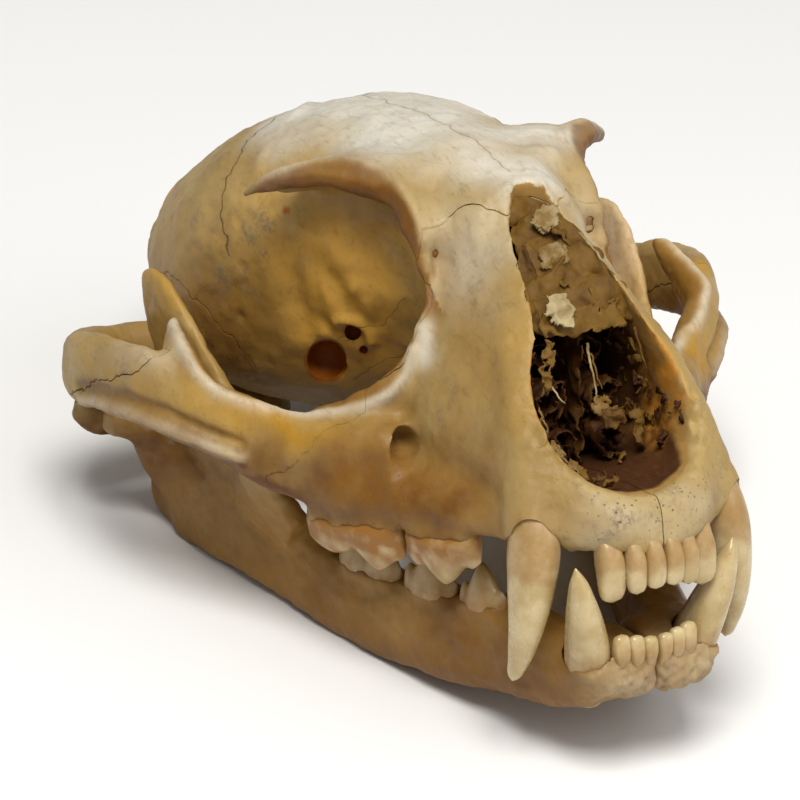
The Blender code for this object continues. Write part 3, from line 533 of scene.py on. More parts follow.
def drill(piece, centre, radius, before, beyond):
    """Takes out a plug that tapers to half its radius, on both sides of the skull."""
    way = np.array(BEHIND_EYE)
    across = np.cross(way, (0.0, 0.0, 1.0))
    across /= np.linalg.norm(across)
    over = np.cross(across, way)
    angle = np.linspace(0, 2 * math.pi, 28, endpoint=False)[:, None]
    circle = radius * (across * np.cos(angle) + over * np.sin(angle))
    for side in (1, -1):
        rings = [np.array(centre) + way * at + circle * share
                 for at, share in ((-before, 1.15), (0.0, 1.0), (0.7 * beyond, 0.95), (beyond, 0.5))]
        boolean(piece, skin_of("plug", np.array(rings) * (side, 1, 1)), "DIFFERENCE")


def ragged_rim(piece):
    """Moves the broken rim of the nose about, and the rim of the tooth sockets up and down."""
    mesh = piece.data
    places = to_skull(places_of(mesh))
    margin = np.exp(-(((places[:, 2] - TOOTH_LINE) / 1.1) ** 2)) * (places[:, 1] < 52)
    places[:, 2] += margin * (0.25 * lumps(places, 2.6, 37) + 0.1)
    near = ridge(both_sides(places), NOSE_RIM, 1.5) * (0.25 + 0.75 * rise(places[:, 2], 9, 17))
    shift = 0.4 * shaken(places, 4.5, 31) + 0.3 * shaken(places, 1.8, 34)
    put_places(mesh, to_world(places + shift * (0.4, 1.0, 1.0) * near[:, None]))


HOLES = (  # place, radius, how far the plug starts before it and ends beyond it
    ((15.6, 66.2, 16.5), 2.75, 4.0, 4.5),  # the large hole for the eye's nerves
    ((13.6, 61.2, 21.1), 1.15, 2.5, 2.5),  # the hole for the nerve of sight
    ((12.6, 60.2, 18.6), 0.6, 1.5, 1.6),
    ((22.2, 62.4, 39.6), 0.4, 1.5, 1.2),
)
ragged_rim(cranium)
for hole in HOLES:
    drill(cranium, *hole)

# %% [markdown]
# ## Feeling for the surface
#
# Lines drawn on the skull and scraps of bone in the nose have to lie on its surface. A search tree
# over the skin's faces finds the nearest place on it, or the place where a ray meets it.

# %% A search tree over the cranium
skin_faces = [tuple(face.vertices) for face in cranium.data.polygons]
skin_tree = BVHTree.FromPolygons(to_skull(places_of(cranium.data)).tolist(), skin_faces)


def onto_skin(line, step=0.3, sway=0.0, seed=0):
    """Walks a line in short steps, sways it, and lays it on the cranium. Gives places and normals."""
    line = np.array(line, float)
    walked = along(line, max(3, int(np.linalg.norm(np.diff(line, axis=0), axis=1).sum() / step)))
    walked = walked + sway * (0.5 * shaken(walked, 5.0, seed) + 0.35 * shaken(walked, 1.7, seed + 3))
    found = [skin_tree.find_nearest(place)[:2] for place in walked.tolist()]
    return np.array([place for place, normal in found]), np.array([normal for place, normal in found])


# %% [markdown]
# ## Parting the bones along their sutures
#
# A suture is a fine, wavering line. A straight cut would look sawn. So the outline of each region
# is walked in short steps, and every step is moved sideways by a few sines of different lengths.

# %% Wavering cuts
SUTURE = 0.16  # width of the open suture between two bones
SWAY_LENGTHS = (9.0, 4.3, 2.3, 1.3)  # lengths of the waves in a suture


def wavering(outline, reach, step=0.4, seed=0):
    """The outline walked in short steps, each moved across it by a sum of sines."""
    corners = np.array(outline, float)
    walked = []
    for a, b in zip(corners, np.roll(corners, -1, axis=0)):
        count = max(2, int(np.linalg.norm(b - a) / step))
        walked.append(a + (b - a) * np.linspace(0, 1, count, endpoint=False)[:, None])
    walked = np.concatenate(walked)
    ahead = np.roll(walked, -1, axis=0) - np.roll(walked, 1, axis=0)
    across = np.column_stack([ahead[:, 1], -ahead[:, 0]])
    across /= np.linalg.norm(across, axis=1, keepdims=True)
    run = np.arange(len(walked)) * step
    chance = np.random.default_rng(seed)
    sway = sum(
        (length / SWAY_LENGTHS[0]) ** 0.6 * np.sin(2 * math.pi * run / length + chance.uniform(0, 6.28))
        for length in SWAY_LENGTHS
    )
    return walked + across * (reach * sway)[:, None]


def grown(outline, by):
    """An anticlockwise outline with every point moved outwards."""
    outline = np.asarray(outline, float)
    ahead = np.roll(outline, -1, axis=0) - np.roll(outline, 1, axis=0)
    across = np.column_stack([ahead[:, 1], -ahead[:, 0]])
    across /= np.linalg.norm(across, axis=1, keepdims=True)
    return outline + across * by


def cheek_solid(side, by):
    """The cheekbone's region: what two prisms share, one seen from the side and one from above.

    The temporal bone's tip lies on the outside of the arch, so a third prism takes it off."""
    from_side = (
        (29.0, 34.0), (36.5, 18.0), (44.0, 8.6), (50.5, 3.0), (56.0, -12.0), (130.0, -12.0), (130.0, 4.0),
        (92.0, 9.8), (86.0, 12.2), (79.1, 15.3), (73.0, 17.5), (71.0, 18.2), (69.5, 20.4), (70.0, 34.0),
    )
    temporal_tip = (
        (80.0, 34.0), (62.0, 34.0), (61.6, 22.2), (62.6, 20.2), (66.6, 18.9), (73.0, 17.4), (80.0, 15.0),
    )
    from_above = (
        (17.0, 48.0), (31.0, 27.0), (62.0, 27.0), (62.0, 130.0), (35.0, 130.0), (35.0, 78.0),
        (30.0, 62.0), (22.0, 54.0),
    )
    seen = wavering(from_side, 0.28, seed=3)
    seen = grown(seen, by * np.where(seen[:, :1] < 60, 0.25, 1.0))
    above = grown(from_above, 0.25 * by) * (side, 1)
    ends = sorted((side * 10.0, side * 70.0))
    tip_ends = sorted((side * (41.3 - by), side * 72.0))
    cheek = boolean(prism("cheek", seen, *ends, "x"), prism("above", above, -20, 50, "z"), "INTERSECT")
    tip = prism("tip", grown(wavering(temporal_tip, 0.2, seed=4), -by), *tip_ends, "x")
    return boolean(cheek, tip, "DIFFERENCE")


def face_solid(low, high, by):
    """The upper jaws' region, up to the suture that climbs from the eye to the nose."""
    outline = (
        (22.0, 38.6), (-14.0, 50.0), (-14.0, -12.0), (60.0, -12.0), (56.0, 6.0), (44.5, 15.0),
        (36.0, 22.0), (35.4, 26.0), (36.0, 29.9), (38.2, 34.1), (37.9, 37.5), (37.8, 40.4), (36.4, 42.0),
        (34.0, 41.9), (31.2, 40.5), (27.0, 39.3),
    )
    return prism("face", grown(wavering(outline, 0.13, seed=5), by), low, high, "x")


def parted(whole, region, name):
    """Takes the bone inside a region off the whole, with the suture between them."""
    piece = piece_from(name, whole.data.copy())
    boolean(piece, region(-SUTURE / 2), "INTERSECT")
    boolean(whole, region(SUTURE / 2), "DIFFERENCE")
    return largest_only(piece)


def egg(name, middle, radii, rows=20, columns=28):
    """A closed ball, stretched along x, y and z."""
    up_angle = np.linspace(-math.pi / 2, math.pi / 2, rows)[:, None]
    turn_angle = np.linspace(0, 2 * math.pi, columns, endpoint=False)
    across = np.cos(up_angle)
    ball = [across * np.cos(turn_angle), across * np.sin(turn_angle), np.sin(up_angle) + 0 * turn_angle]
    return skin_of(name, np.array(middle) + np.stack(ball, axis=-1) * np.array(radii))


# the bone's margin stands in an arch over each upper canine
ARCH_MIDDLE, ARCH_RADII = np.array((16.1, 7.5, 1.9)), (3.5, 3.4, 4.3)
for side in (1, -1):
    boolean(cranium, egg("margin", ARCH_MIDDLE * (side, 1, 1), ARCH_RADII), "DIFFERENCE")

bones = {}
for side, side_name in SIDES:
    bones["cheekbone_" + side_name] = parted(
        cranium, lambda by: cheek_solid(side, by), "cheekbone_bone_" + side_name
    )
bones["upper_jaw_left"] = parted(cranium, lambda by: face_solid(-40, 40, by), "upper_jaw_bone_left")
bones["upper_jaw_right"] = parted(
    bones["upper_jaw_left"], lambda by: face_solid(-60, by, by), "upper_jaw_bone_right"
)
largest_only(bones["upper_jaw_left"])
cranium.name = "braincase_bone"
bones["braincase"] = largest_only(cranium)
for node, bone in bones.items():
    print(node, len(bone.data.polygons), "faces")

# %% [markdown]
# ## The lower jaws and the ear balls
#
# The lower jaws are refined the same way. Their teeth are cut off along the rim of the tooth
# sockets, which sags in front of the long tooth and climbs towards the rear.

# %% The lower jaws and the ear balls
above_rim = (
    (-6, -13.7), (5.6, -13.2), (11.5, -11.2), (16, -10.0), (22, -9.5), (31, -9.4), (40, -9.0),
    (52, -7.2), (53, 12), (-6, 12),
)
JAW_LAYERS = ((0.14, 8.0, 11), (0.07, 3.0, 12), (0.03, 1.6, 14))
COLLAR = (  # x, y, z, half width and half length of each ring, from below
    (6.8, 10.4, -18.4, 1.8, 2.4), (7.6, 8.2, -16.4, 2.7, 3.7),
    (8.0, 7.4, -15.0, 2.85, 3.75), (8.1, 7.2, -14.5, 2.5, 3.3),
)


def jaw_relief(places):
    """Millimetres outwards: two nerve holes, the edge of the muscle's hollow, and the rough chin."""
    folded = both_sides(places)
    relief = -0.7 * around_place(folded, (16.8, 25.1, -17.7), (1.2, 0.9, 0.8))
    relief -= 0.5 * around_place(folded, (18.0, 29.6, -15.6), (1.2, 0.7, 0.6))
    relief += 0.25 * ridge(folded, ((26, 58, -16), (28.5, 66, -12), (31, 76, -10), (33, 86, -9)), 1.2)
    relief += 0.3 * around_place(folded, (4.0, 4.0, -17.5), (6.0, 5.0, 3.5)) * lumps(places, 1.4, 13)
    return relief + layered_lumps(places, JAW_LAYERS)


def canine_collar(side):
    """A plug around the lower canine's base, so that the bone's margin stands as high as it should."""
    angle = np.linspace(0, 2 * math.pi, 40, endpoint=False)
    rings = []
    for x, y, z, wide, long in COLLAR:
        tilted = z - 0.16 * (wide * np.cos(angle) - long * np.sin(angle))
        rings.append(np.column_stack([side * (x + wide * np.cos(angle)), y + long * np.sin(angle), tilted]))
    return skin_of("collar", np.array(rings))


for side, side_name in SIDES:
    jaw = merged_copy(["lower_jaw_" + side_name], "lower_jaw_bone_" + side_name)
    ends = sorted((side * -2.0, side * 60.0))
    boolean(jaw, prism("teeth_off", above_rim, *ends, "x"), "DIFFERENCE")
    largest_only(jaw)
    boolean(jaw, canine_collar(side), "UNION")
    push_out(fine_skin(jaw, square=0.4, smoothing=6), jaw_relief)
    bones["lower_jaw_" + side_name] = jaw
    ball = fine_skin(merged_copy(["bulla_" + side_name], "bulla_bone_" + side_name))
    bones["bulla_" + side_name] = push_out(ball, lambda places: 0.08 * lumps(places, 4.0, 21))
    print(side_name, len(jaw.data.polygons), len(ball.data.polygons), "faces")

# %% [markdown]
# ## The long teeth
#
# A canine is a curved cone with an oval section and fine grooves along it. It is made as a profile
# carried along a path: at each step the path gives the middle, and the profile a ring across it.

# %% Canines
GROOVES = (0.25, 2.6)  # angles around a canine


def tusk(name, stations, side, rows=70, columns=48):
    """Ovals carried along a curve. A station is (x, y, z, half width, half length).

    Two shallow grooves run lengthwise, where the ring's radius dips by a bell curve of the angle."""
    rows_read = along(stations, rows)
    centre, wide, long = rows_read[:, :3], rows_read[:, 3:4], rows_read[:, 4:5]
    ahead = np.gradient(centre, axis=0)
    ahead /= np.linalg.norm(ahead, axis=1, keepdims=True)
    out = np.cross(np.tile((0.0, 1.0, 0.0), (rows, 1)), ahead)
    out /= np.linalg.norm(out, axis=1, keepdims=True)
    fore = np.cross(ahead, out)
    angle = np.linspace(0, 2 * math.pi, columns, endpoint=False)
    dip = sum(np.exp(-((np.angle(np.exp(1j * (angle - at))) / 0.16) ** 2)) for at in GROOVES)
    radius = (1 - 0.05 * dip)[None, :, None]
    rings = (
        centre[:, None]
        + radius * out[:, None] * (wide * np.cos(angle))[:, :, None]
        + radius * fore[:, None] * (long * np.sin(angle))[:, :, None]
    )
    rings[:, :, 0] *= side
    piece = skin_of(name, rings)
    piece.data.shade_smooth()
    return piece


UPPER_CANINE = 20.0  # crown lengths
LOWER_CANINE = 14.0
LOWER_BASE = -13.9
upper_path = (
    (11.9, 14.8, 12.0, 1.7, 2.2),
    (12.4, 13.2, 8.6, 2.0, 2.5),
    (13.4, 10.8, 5.0, 3.05, 3.6),
    (14.3, 10.0, 0.6, 3.4, 4.0),
    (14.9, 9.9, -0.16 * UPPER_CANINE, 3.1, 3.65),
    (15.7, 10.7, -0.47 * UPPER_CANINE, 2.2, 2.7),
    (16.1, 12.6, -0.72 * UPPER_CANINE, 1.3, 1.55),
    (16.25, 13.6, -0.82 * UPPER_CANINE, 0.7, 0.8),
    (16.3, 13.9, -0.855 * UPPER_CANINE, 0.1, 0.1),
)
lower_path = (
    (6.6, 12.0, LOWER_BASE - 6.0, 2.4, 2.9),
    (7.9, 8.4, LOWER_BASE - 0.8, 2.9, 3.5),
    (9.2, 6.2, LOWER_BASE + 0.28 * LOWER_CANINE, 2.6, 3.1),
    (10.6, 4.4, LOWER_BASE + 0.62 * LOWER_CANINE, 1.85, 2.15),
    (11.5, 3.5, LOWER_BASE + 0.88 * LOWER_CANINE, 0.85, 0.95),
    (11.8, 3.4, LOWER_BASE + 0.98 * LOWER_CANINE, 0.1, 0.1),
)
teeth = {}
for side, side_name in SIDES:
    for row, path in (("upper", upper_path), ("lower", lower_path)):
        teeth[f"{row}_canine_{side_name}"] = tusk(f"{row}_canine_tooth_{side_name}", path, side)

# %% [markdown]
# ## The cheek teeth
#
# A cat's cheek teeth are blades: a row of rounded cusps on a thin crown that bulges over the gum.
# Each is a surface of two parameters. One runs along the jaw and sets the crown's height and
# width; the other goes over the crown from the cheek side to the tongue side, as a dome.

# %% Cheek teeth
ROOT_OUTLINE = (  # share of the width, and share of the root's depth
    (0.9, 0.16), (0.68, 0.5), (0.55, 1.0), (-0.55, 1.0), (-0.68, 0.5), (-0.9, 0.16),
)


def crown(name, front, back, cusps, half_width, root, side, least=1.8, rows=56, columns=36):
    """A blade between two places at the gum. A cusp is (place from 0 to 1, height, spread).

    Height along the tooth: each cusp falls off as 1 - |distance / spread|^1.6, and the cusps are
    added as powers, which keeps the highest and rounds the notch between two. Across it: a dome,
    x = width * v, z = height * (1 - |v|^1.7)^0.8 for v from -1 to 1, over a root that narrows."""
    front, back = np.array(front, float), np.array(back, float)
    axis = back - front
    across = np.cross((0.0, 0.0, 1.0), axis)
    across /= np.linalg.norm(across)
    way = math.copysign(1.0, -root)
    t = (1 - np.cos(np.linspace(0, math.pi, rows))) / 2
    heights = [high * np.clip(1 - (np.abs(t - at) / spread) ** 1.6, 0, None) for at, high, spread in cusps]
    ends = np.clip(1 - np.abs(2 * t - 1) ** 5, 0.0, 1) ** 0.5
    height = (sum(h**5 for h in heights) + (least * ends) ** 5) ** 0.2
    width = half_width * (0.06 + 0.94 * np.clip(1 - np.abs(2 * t - 1) ** 2.6, 0, None) ** 0.5)
    width *= 0.86 + 0.14 * height / height.max()
    dome = np.linspace(-1, 1, columns)
    v = np.sign(dome) * np.abs(dome) ** 0.8
    over = (1 - np.abs(v) ** 1.7) ** 0.8
    root_x, root_depth = np.array(ROOT_OUTLINE).T
    x = np.concatenate([v, root_x])
    rings = (front + axis * t[:, None])[:, None] + across * (width[:, None] * x)[:, :, None]
    lift = np.concatenate([over, np.zeros(len(root_x))])
    sink = np.concatenate([np.zeros(columns), root_depth])
    rings = rings + np.array((0, 0, 1.0)) * (way * height[:, None] * lift + root * sink)[:, :, None]
    rings[:, :, 0] *= side
    piece = skin_of(name, rings)
    piece.data.shade_smooth()
    return piece


def upper_cheek_teeth(side):
    third = ((0.12, 3.5, 0.26), (0.50, 6.3, 0.44), (0.87, 4.2, 0.30))
    fourth = ((0.06, 3.7, 0.22), (0.28, 5.8, 0.34), (0.74, 4.4, 0.46))
    molar = ((0.5, 2.6, 0.6),)
    return [
        crown("premolar_3", (16.9, 19.8, 0.3), (21.8, 31.0, 0.3), third, 2.9, 2.6, side, least=2.6),
        crown("premolar_4", (22.3, 31.2, 0.3), (29.0, 46.4, 0.5), fourth, 2.85, 2.6, side, least=2.8),
        crown("molar_1", (25.4, 47.4, 0.8), (21.4, 48.4, 0.8), molar, 1.4, 1.6, side, rows=30, columns=24),
    ]


def lower_cheek_teeth(side):
    third = ((0.12, 2.8, 0.24), (0.48, 6.2, 0.42), (0.88, 3.0, 0.24))
    fourth = ((0.12, 3.2, 0.24), (0.48, 7.0, 0.42), (0.88, 3.6, 0.24))
    molar = ((0.25, 5.8, 0.34), (0.72, 6.6, 0.36))
    return [
        crown("premolar_3", (12.6, 21.4, -10.2), (15.0, 29.8, -10.2), third, 1.95, -3.0, side),
        crown("premolar_4", (15.3, 30.4, -10.2), (18.2, 39.8, -9.8), fourth, 2.05, -3.0, side),
        crown("molar_1", (18.6, 40.4, -9.8), (22.2, 51.4, -8.2), molar, 2.15, -3.0, side),
    ]


# %% [markdown]
# ## The incisors
#
# Six small pegs above and six below, each narrow at the gum and widest near the bite, with a
# rounded end that is worn a little flat. A peg is a rounded square carried from the root to the tip.

# %% Incisors
def peg(name, root, neck, tip, half_width, half_depth, side, rows=26, columns=24):
    """Rounded squares carried from root through neck to tip.

    Along the tooth the width is 0.84 at the root, swells to 1 by a smooth step, and closes at the
    tip as a flattened quarter circle. Across it |x|^3 + |y|^3 is constant."""
    root, neck, tip = (np.array(p, float) for p in (root, neck, tip))
    t = np.linspace(0, 1, rows)[:, None]
    centre = (1 - t) ** 2 * root + 2 * t * (1 - t) * (2 * neck - (root + tip) / 2) + t**2 * tip
    swell = 0.84 + 0.16 * rise(t, 0.3, 0.62)
    close = np.clip(1 - np.clip((t - 0.8) / 0.2, 0, 1) ** 2.6, 0, 1) ** 0.42
    angle = np.linspace(0, 2 * math.pi, columns, endpoint=False)
    x = np.sign(np.cos(angle)) * np.abs(np.cos(angle)) ** (2 / 3)
    y = np.sign(np.sin(angle)) * np.abs(np.sin(angle)) ** (2 / 3)
    thin = 1 - 0.45 * rise(t, 0.5, 1.0)
    rings = centre[:, None] + np.stack([
        half_width * swell * close * x,
        half_depth * thin * close * y,
        np.zeros((rows, columns)),
    ], axis=-1)
    rings[:, :, 0] *= side
    piece = skin_of(name, rings)
    piece.data.shade_smooth()
    return piece


def incisors(side):
    upper = ((1.36, 0.9, -4.3, 1.36, 1.5), (3.9, 1.5, -4.75, 1.36, 1.55), (6.8, 3.0, -5.7, 1.85, 1.9))
    lower = ((1.08, 3.5, -11.2, 1.02, 1.3), (3.0, 3.7, -10.8, 1.08, 1.35), (4.95, 4.2, -10.5, 1.2, 1.4))
    made = [
        peg("upper_incisor", (x, y + 2.2, 3.4), (x, y + 0.3, 0.2), (x, y + 0.1, tip), half, deep, side)
        for x, y, tip, half, deep in upper
    ]
    made += [
        peg("lower_incisor", (x, y + 2.0, -16.5), (x, y + 0.6, -13.9), (x + 0.1, y, tip), half, deep, side)
        for x, y, tip, half, deep in lower
    ]
    return made


for side, side_name in SIDES:
    cutting = incisors(side)
    upper_row, lower_row = upper_cheek_teeth(side) + cutting[:3], lower_cheek_teeth(side) + cutting[3:]
    teeth["upper_jaw_" + side_name] = joined("upper_teeth_" + side_name, upper_row)
    teeth["lower_jaw_" + side_name] = joined("lower_teeth_" + side_name, lower_row)
print("teeth:", {name: len(tooth.data.polygons) for name, tooth in teeth.items()})

# %% [markdown]
# ## The thin bones in the nose
#
# Behind the broken rim hang plates as thin as paper, crumpled, torn and stained. Each is a sheet of
# small squares. Some are spirals carried back into the nose; the others are ruled between two edges.
# Squares are left out where a field of lumps is high, more of them near the edges, which tears the
# sheet. Every sheet carries a tone: 0 is stained dark, 1 is clean and pale. All of them are gathered
# into one mesh, and a Solidify modifier gives it a thickness.

# %% Torn sheets
def sheet_left(places, rows, columns, tone, tear, size, seed):
    """Places, kept faces and tones of a sheet. A face is kept where its lumps stay below 1."""
    faces = sheet_faces(rows, columns)
    torn = lumps(places, size, seed) + tear.ravel()
    return places, faces[torn[faces].mean(axis=1) < 1.0], np.full(len(places), tone)


def scroll(height, out, radius, front, rear, side, seed, rows=44, columns=44):
    """A spiral, radius * (1 - 0.55 s) at angle 4.6 - 7.5 s for s from 0 to 1, carried along y."""
    s = np.linspace(0, 1, columns)[None, :]
    t = np.linspace(0, 1, rows)[:, None]
    size = radius * (1 - 0.55 * s) * (0.75 + 0.25 * np.sin(math.pi * np.clip(t * 1.2, 0, 1)))
    angle = 4.6 - 7.5 * s
    x = side * (out + size * np.cos(angle))
    y = front + (rear - front) * t + 0 * s
    z = height + size * np.sin(angle)
    places = np.stack([x, y, z], axis=-1).reshape(-1, 3)
    places = places + 0.5 * shaken(places, 5.0, seed + 1)
    places = places + 0.2 * shaken(places, 1.6, seed + 4)
    tear = 1.3 * np.exp(-(y - front) / 1.6) - 0.1
    return sheet_left(places, rows, columns, 0.16, tear, 2.6, seed + 7)


def crumpled(left, right, tone, seed, bulge=0.0, rough=0.2, size=2.0, tear=-0.4, step=0.35, oval=False):
    """A torn sheet ruled between two edges, in skull millimetres.

    It bulges by a half sine across, and is moved by lumps of two sizes."""
    left, right = np.array(left, float), np.array(right, float)
    run = np.linalg.norm(np.diff(left, axis=0), axis=1).sum()
    span = np.linalg.norm(left - right, axis=1).max()
    rows, columns = max(4, int(run / step)), max(4, int(span / step))
    left, right = along(left, rows), along(right, rows)
    u = np.linspace(0, 1, columns)[None, :, None]
    t = np.linspace(0, 1, rows)[:, None]
    places = left[:, None] * (1 - u) + right[:, None] * u
    out = np.cross(left[-1] - left[0], right.mean(axis=0) - left.mean(axis=0))
    out /= np.linalg.norm(out)
    places = (places + out * bulge * np.sin(math.pi * u)).reshape(-1, 3)
    for scale, share in ((size, 1.0), (size * 0.4, 0.28)):
        places = places + rough * share * shaken(places, scale, seed)
    width = np.linalg.norm(left - right, axis=1)[:, None]
    edge = np.minimum(np.minimum(u[..., 0], 1 - u[..., 0]) * width, np.minimum(t, 1 - t) * run)
    if oval:
        edge = (1 - np.hypot(2 * u[..., 0] - 1, 2 * t - 1)) * span / 2
    tear = tear + 1.3 * np.exp(-edge / 0.4)
    return sheet_left(places, rows, columns, tone, tear, size * 0.8, seed + 9)


def flake(centre, way, across, tone, seed, **looks):
    """A small torn sheet around a place, given by two half diagonals of its frame."""
    centre, way, across = np.array(centre), np.array(way), np.array(across)
    return crumpled(
        (centre - way - across, centre + way - across), (centre - way + across, centre + way + across),
        tone, seed, oval=True, step=0.22, **looks)


def sliver(start, end, width, tone, seed):
    """A narrow splinter that points towards its end."""
    start, end = np.array(start, float), np.array(end, float)
    side_way = np.cross(end - start, (0.3, -0.9, 0.3))
    side_way *= width / np.linalg.norm(side_way)
    near, far = (start - side_way, end), (start + side_way, end + side_way * 0.2)
    return crumpled(near, far, tone, seed, rough=0.08, size=1.5, tear=-3.0, step=0.2)


ROLLS = (  # height, distance from the middle, radius and front end of each roll
    (11.5, 3.6, 2.6, 19.5), (17.0, 4.2, 2.9, 21.0), (22.6, 3.4, 2.5, 24.0), (28.0, 2.6, 1.9, 27.5),
)
ROLL_REAR = 33.0
FLAKES = (  # middle, two half diagonals, tone, seed, size and roughness
    ((0.1, 28.3, 40.2), (2.4, 0.5, 0.8), (0.0, -1.1, -1.2), 0.76, 601, 2.2, 0.3),
    ((1.4, 26.9, 38.1), (1.6, 0.3, -0.9), (0.5, -0.8, -1.0), 0.45, 615, 2.0, 0.35),
    ((-1.6, 23.8, 36.2), (2.1, -0.3, 0.8), (0.4, -1.0, -1.3), 0.7, 602, 2.2, 0.35),
    ((-3.9, 18.6, 29.9), (2.0, 0.2, 0.5), (0.4, -0.9, -2.1), 0.82, 603, 2.4, 0.35),
    ((-0.5, 22.3, 32.9), (1.7, 0.2, -0.6), (0.2, -0.6, -1.4), 0.5, 604, 2.0, 0.3),
    ((3.6, 20.4, 30.6), (2.0, 0.4, -0.7), (0.4, -0.6, -1.1), 0.5, 605, 2.0, 0.3),
    ((-7.2, 16.3, 25.2), (1.0, 0.3, 0.7), (0.2, -0.4, -1.5), 0.62, 606, 1.4, 0.3),
    ((-8.4, 15.1, 22.4), (0.9, 0.4, 0.3), (0.1, -0.3, -1.5), 0.5, 607, 1.4, 0.3),
    ((-1.2, 13.6, 18.0), (1.3, 0.2, 0.3), (0.1, -0.2, -0.9), 0.6, 608, 1.3, 0.25),
    ((2.4, 16.4, 15.2), (2.2, 0.3, 0.6), (0.2, -0.5, -1.5), 0.35, 609, 2.2, 0.35),
    ((6.4, 17.0, 12.8), (1.2, 0.8, 0.6), (0.4, -0.5, -2.6), 0.38, 616, 2.2, 0.35),
    ((-9.3, 14.6, 16.4), (0.6, 1.1, 0.1), (0.2, -0.6, -1.8), 0.7, 610, 1.4, 0.25),
    ((-8.7, 11.9, 13.3), (0.6, 1.1, 0.2), (0.6, -1.1, -1.2), 0.7, 611, 1.4, 0.25),
    ((-7.2, 9.9, 10.8), (0.6, 1.0, 0.3), (0.9, -0.9, -0.8), 0.65, 612, 1.4, 0.25),
    ((-4.2, 6.4, 9.4), (1.2, 0.3, 0.2), (0.6, -1.1, 0.6), 0.3, 613, 1.6, 0.3),
    ((-5.6, 7.6, 9.8), (1.0, 0.6, 0.2), (0.4, -0.9, 0.7), 0.2, 614, 1.6, 0.3),
)
SLIVERS = (  # start, end, width, tone and seed
    ((-7.6, 17.6, 22.0), (-5.6, 15.6, 18.4), 0.28, 0.9, 621),
    ((-8.2, 17.0, 19.6), (-7.4, 15.2, 24.2), 0.22, 0.7, 622),
    ((-1.2, 16.6, 25.6), (-1.6, 13.6, 18.2), 0.22, 0.72, 623),
    ((-0.4, 17.2, 24.0), (-0.2, 15.0, 19.6), 0.18, 0.5, 624),
    ((6.3, 17.1, 26.5), (8.3, 17.7, 20.1), 0.3, 0.4, 625),
    ((3.6, 25.8, 38.2), (6.0, 21.1, 33.0), 0.3, 0.75, 626),
    ((-4.7, 26.3, 37.6), (-5.2, 21.9, 34.2), 0.3, 0.3, 627),
)
SCRAPS, SCRAP_SEED = 90, 77
RAY_REACH = 12.0
SHEET_THICK = 0.2 * MM

nose_sheets = []
for side in (1, -1):
    for k, (height, out, radius, front) in enumerate(ROLLS):
        nose_sheets.append(scroll(height, out, radius, front, ROLL_REAR, side, 40 + 7 * k + side))
upper_left = ((2.0, 39.0, 43.0), (4.2, 31.5, 39.0), (6.0, 25.5, 35.0), (8.0, 21.5, 30.5), (8.6, 20.5, 26.5))
upper_right = [(-x, y, z) for x, y, z in upper_left]
front_left, front_right = ((6.5, 20.0, 29.5), (5.5, 18.6, 25.5)), ((-7.5, 19.5, 30.5), (-6.5, 18.4, 26.8))
wall_front, wall_rear = ((0.3, 20.5, 26.0), (0.0, 22.0, 8.0)), ((-0.2, 33.0, 27.0), (0.1, 33.0, 8.0))
nose_sheets += [
    crumpled(upper_left, upper_right, 0.42, 501, bulge=-1.2, rough=0.55, size=4.2, tear=-2.0),
    crumpled(front_left, front_right, 0.45, 521, rough=0.4, size=3.2, tear=-0.3),
    crumpled(wall_front, wall_rear, 0.2, 541, rough=0.35, size=3.0, tear=-0.2),
]
nose_sheets += [flake(*frame_and_tone, size=size, rough=rough) for *frame_and_tone, size, rough in FLAKES]
nose_sheets += [sliver(*each) for each in SLIVERS]

# scraps cling to the walls wherever a ray from the middle of the nose meets them
chance = np.random.default_rng(SCRAP_SEED)
clinging = 0
while clinging < SCRAPS:
    start = np.array((chance.uniform(-2, 2), chance.uniform(14, 31), chance.uniform(9, 26)))
    aim = np.array((chance.choice((-1, 1)), chance.normal(0, 0.3), chance.normal(0, 0.5)))
    met, normal = skin_tree.ray_cast(start.tolist(), aim.tolist(), RAY_REACH)[:2]
    if met is None:
        continue
    clinging += 1
    met, normal = np.array(met), np.array(normal)
    long_way = np.cross(normal + chance.normal(0, 0.5, 3), chance.normal(0, 1, 3))
    long_way *= chance.uniform(0.4, 1.3) / np.linalg.norm(long_way)
    short_way = np.cross(long_way, normal + chance.normal(0, 0.4, 3)) * chance.uniform(0.4, 0.8)
    middle = met + normal * chance.uniform(0.1, 1.0)
    tone = chance.uniform(0.0, 0.5)
    nose_sheets.append(flake(middle, long_way, short_way, tone, 700 + 10 * clinging, size=1.1))

# %% All the sheets in one mesh
def behind_rim(places, least=1.4):
    """Places held at least some millimetres behind the line of the nose's rim, as seen from the side."""
    rim = np.array(NOSE_RIM)[::-1]
    held = places.copy()
    held[:, 1] = np.maximum(places[:, 1], np.interp(places[:, 2], rim[:, 2], rim[:, 1]) + least)
    return held


kept, faces_so_far, tones, so_far = [], [], [], 0
for sheet_places, sheet_kept, sheet_tones in nose_sheets:
    used, renumbered = np.unique(sheet_kept, return_inverse=True)
    kept.append(behind_rim(sheet_places[used]))
    tones.append(sheet_tones[used])
    faces_so_far.append(renumbered.reshape(-1, 4) + so_far)
    so_far += len(used)
nose_mesh = bpy.data.meshes.new("nose_scroll_bones")
nose_places, nose_faces = to_world(np.concatenate(kept)), np.concatenate(faces_so_far)
nose_mesh.from_pydata(nose_places.tolist(), [], nose_faces.tolist())
tell(nose_mesh, "tone", np.concatenate(tones))
scrolls = piece_from("nose_scroll_bones", nose_mesh)
wall = scrolls.modifiers.new("wall", "SOLIDIFY")
wall.thickness = SHEET_THICK
wall.offset = 0.0
applied(scrolls)
scrolls.data.shade_smooth()
print("scrolls:", len(scrolls.data.polygons), "faces")

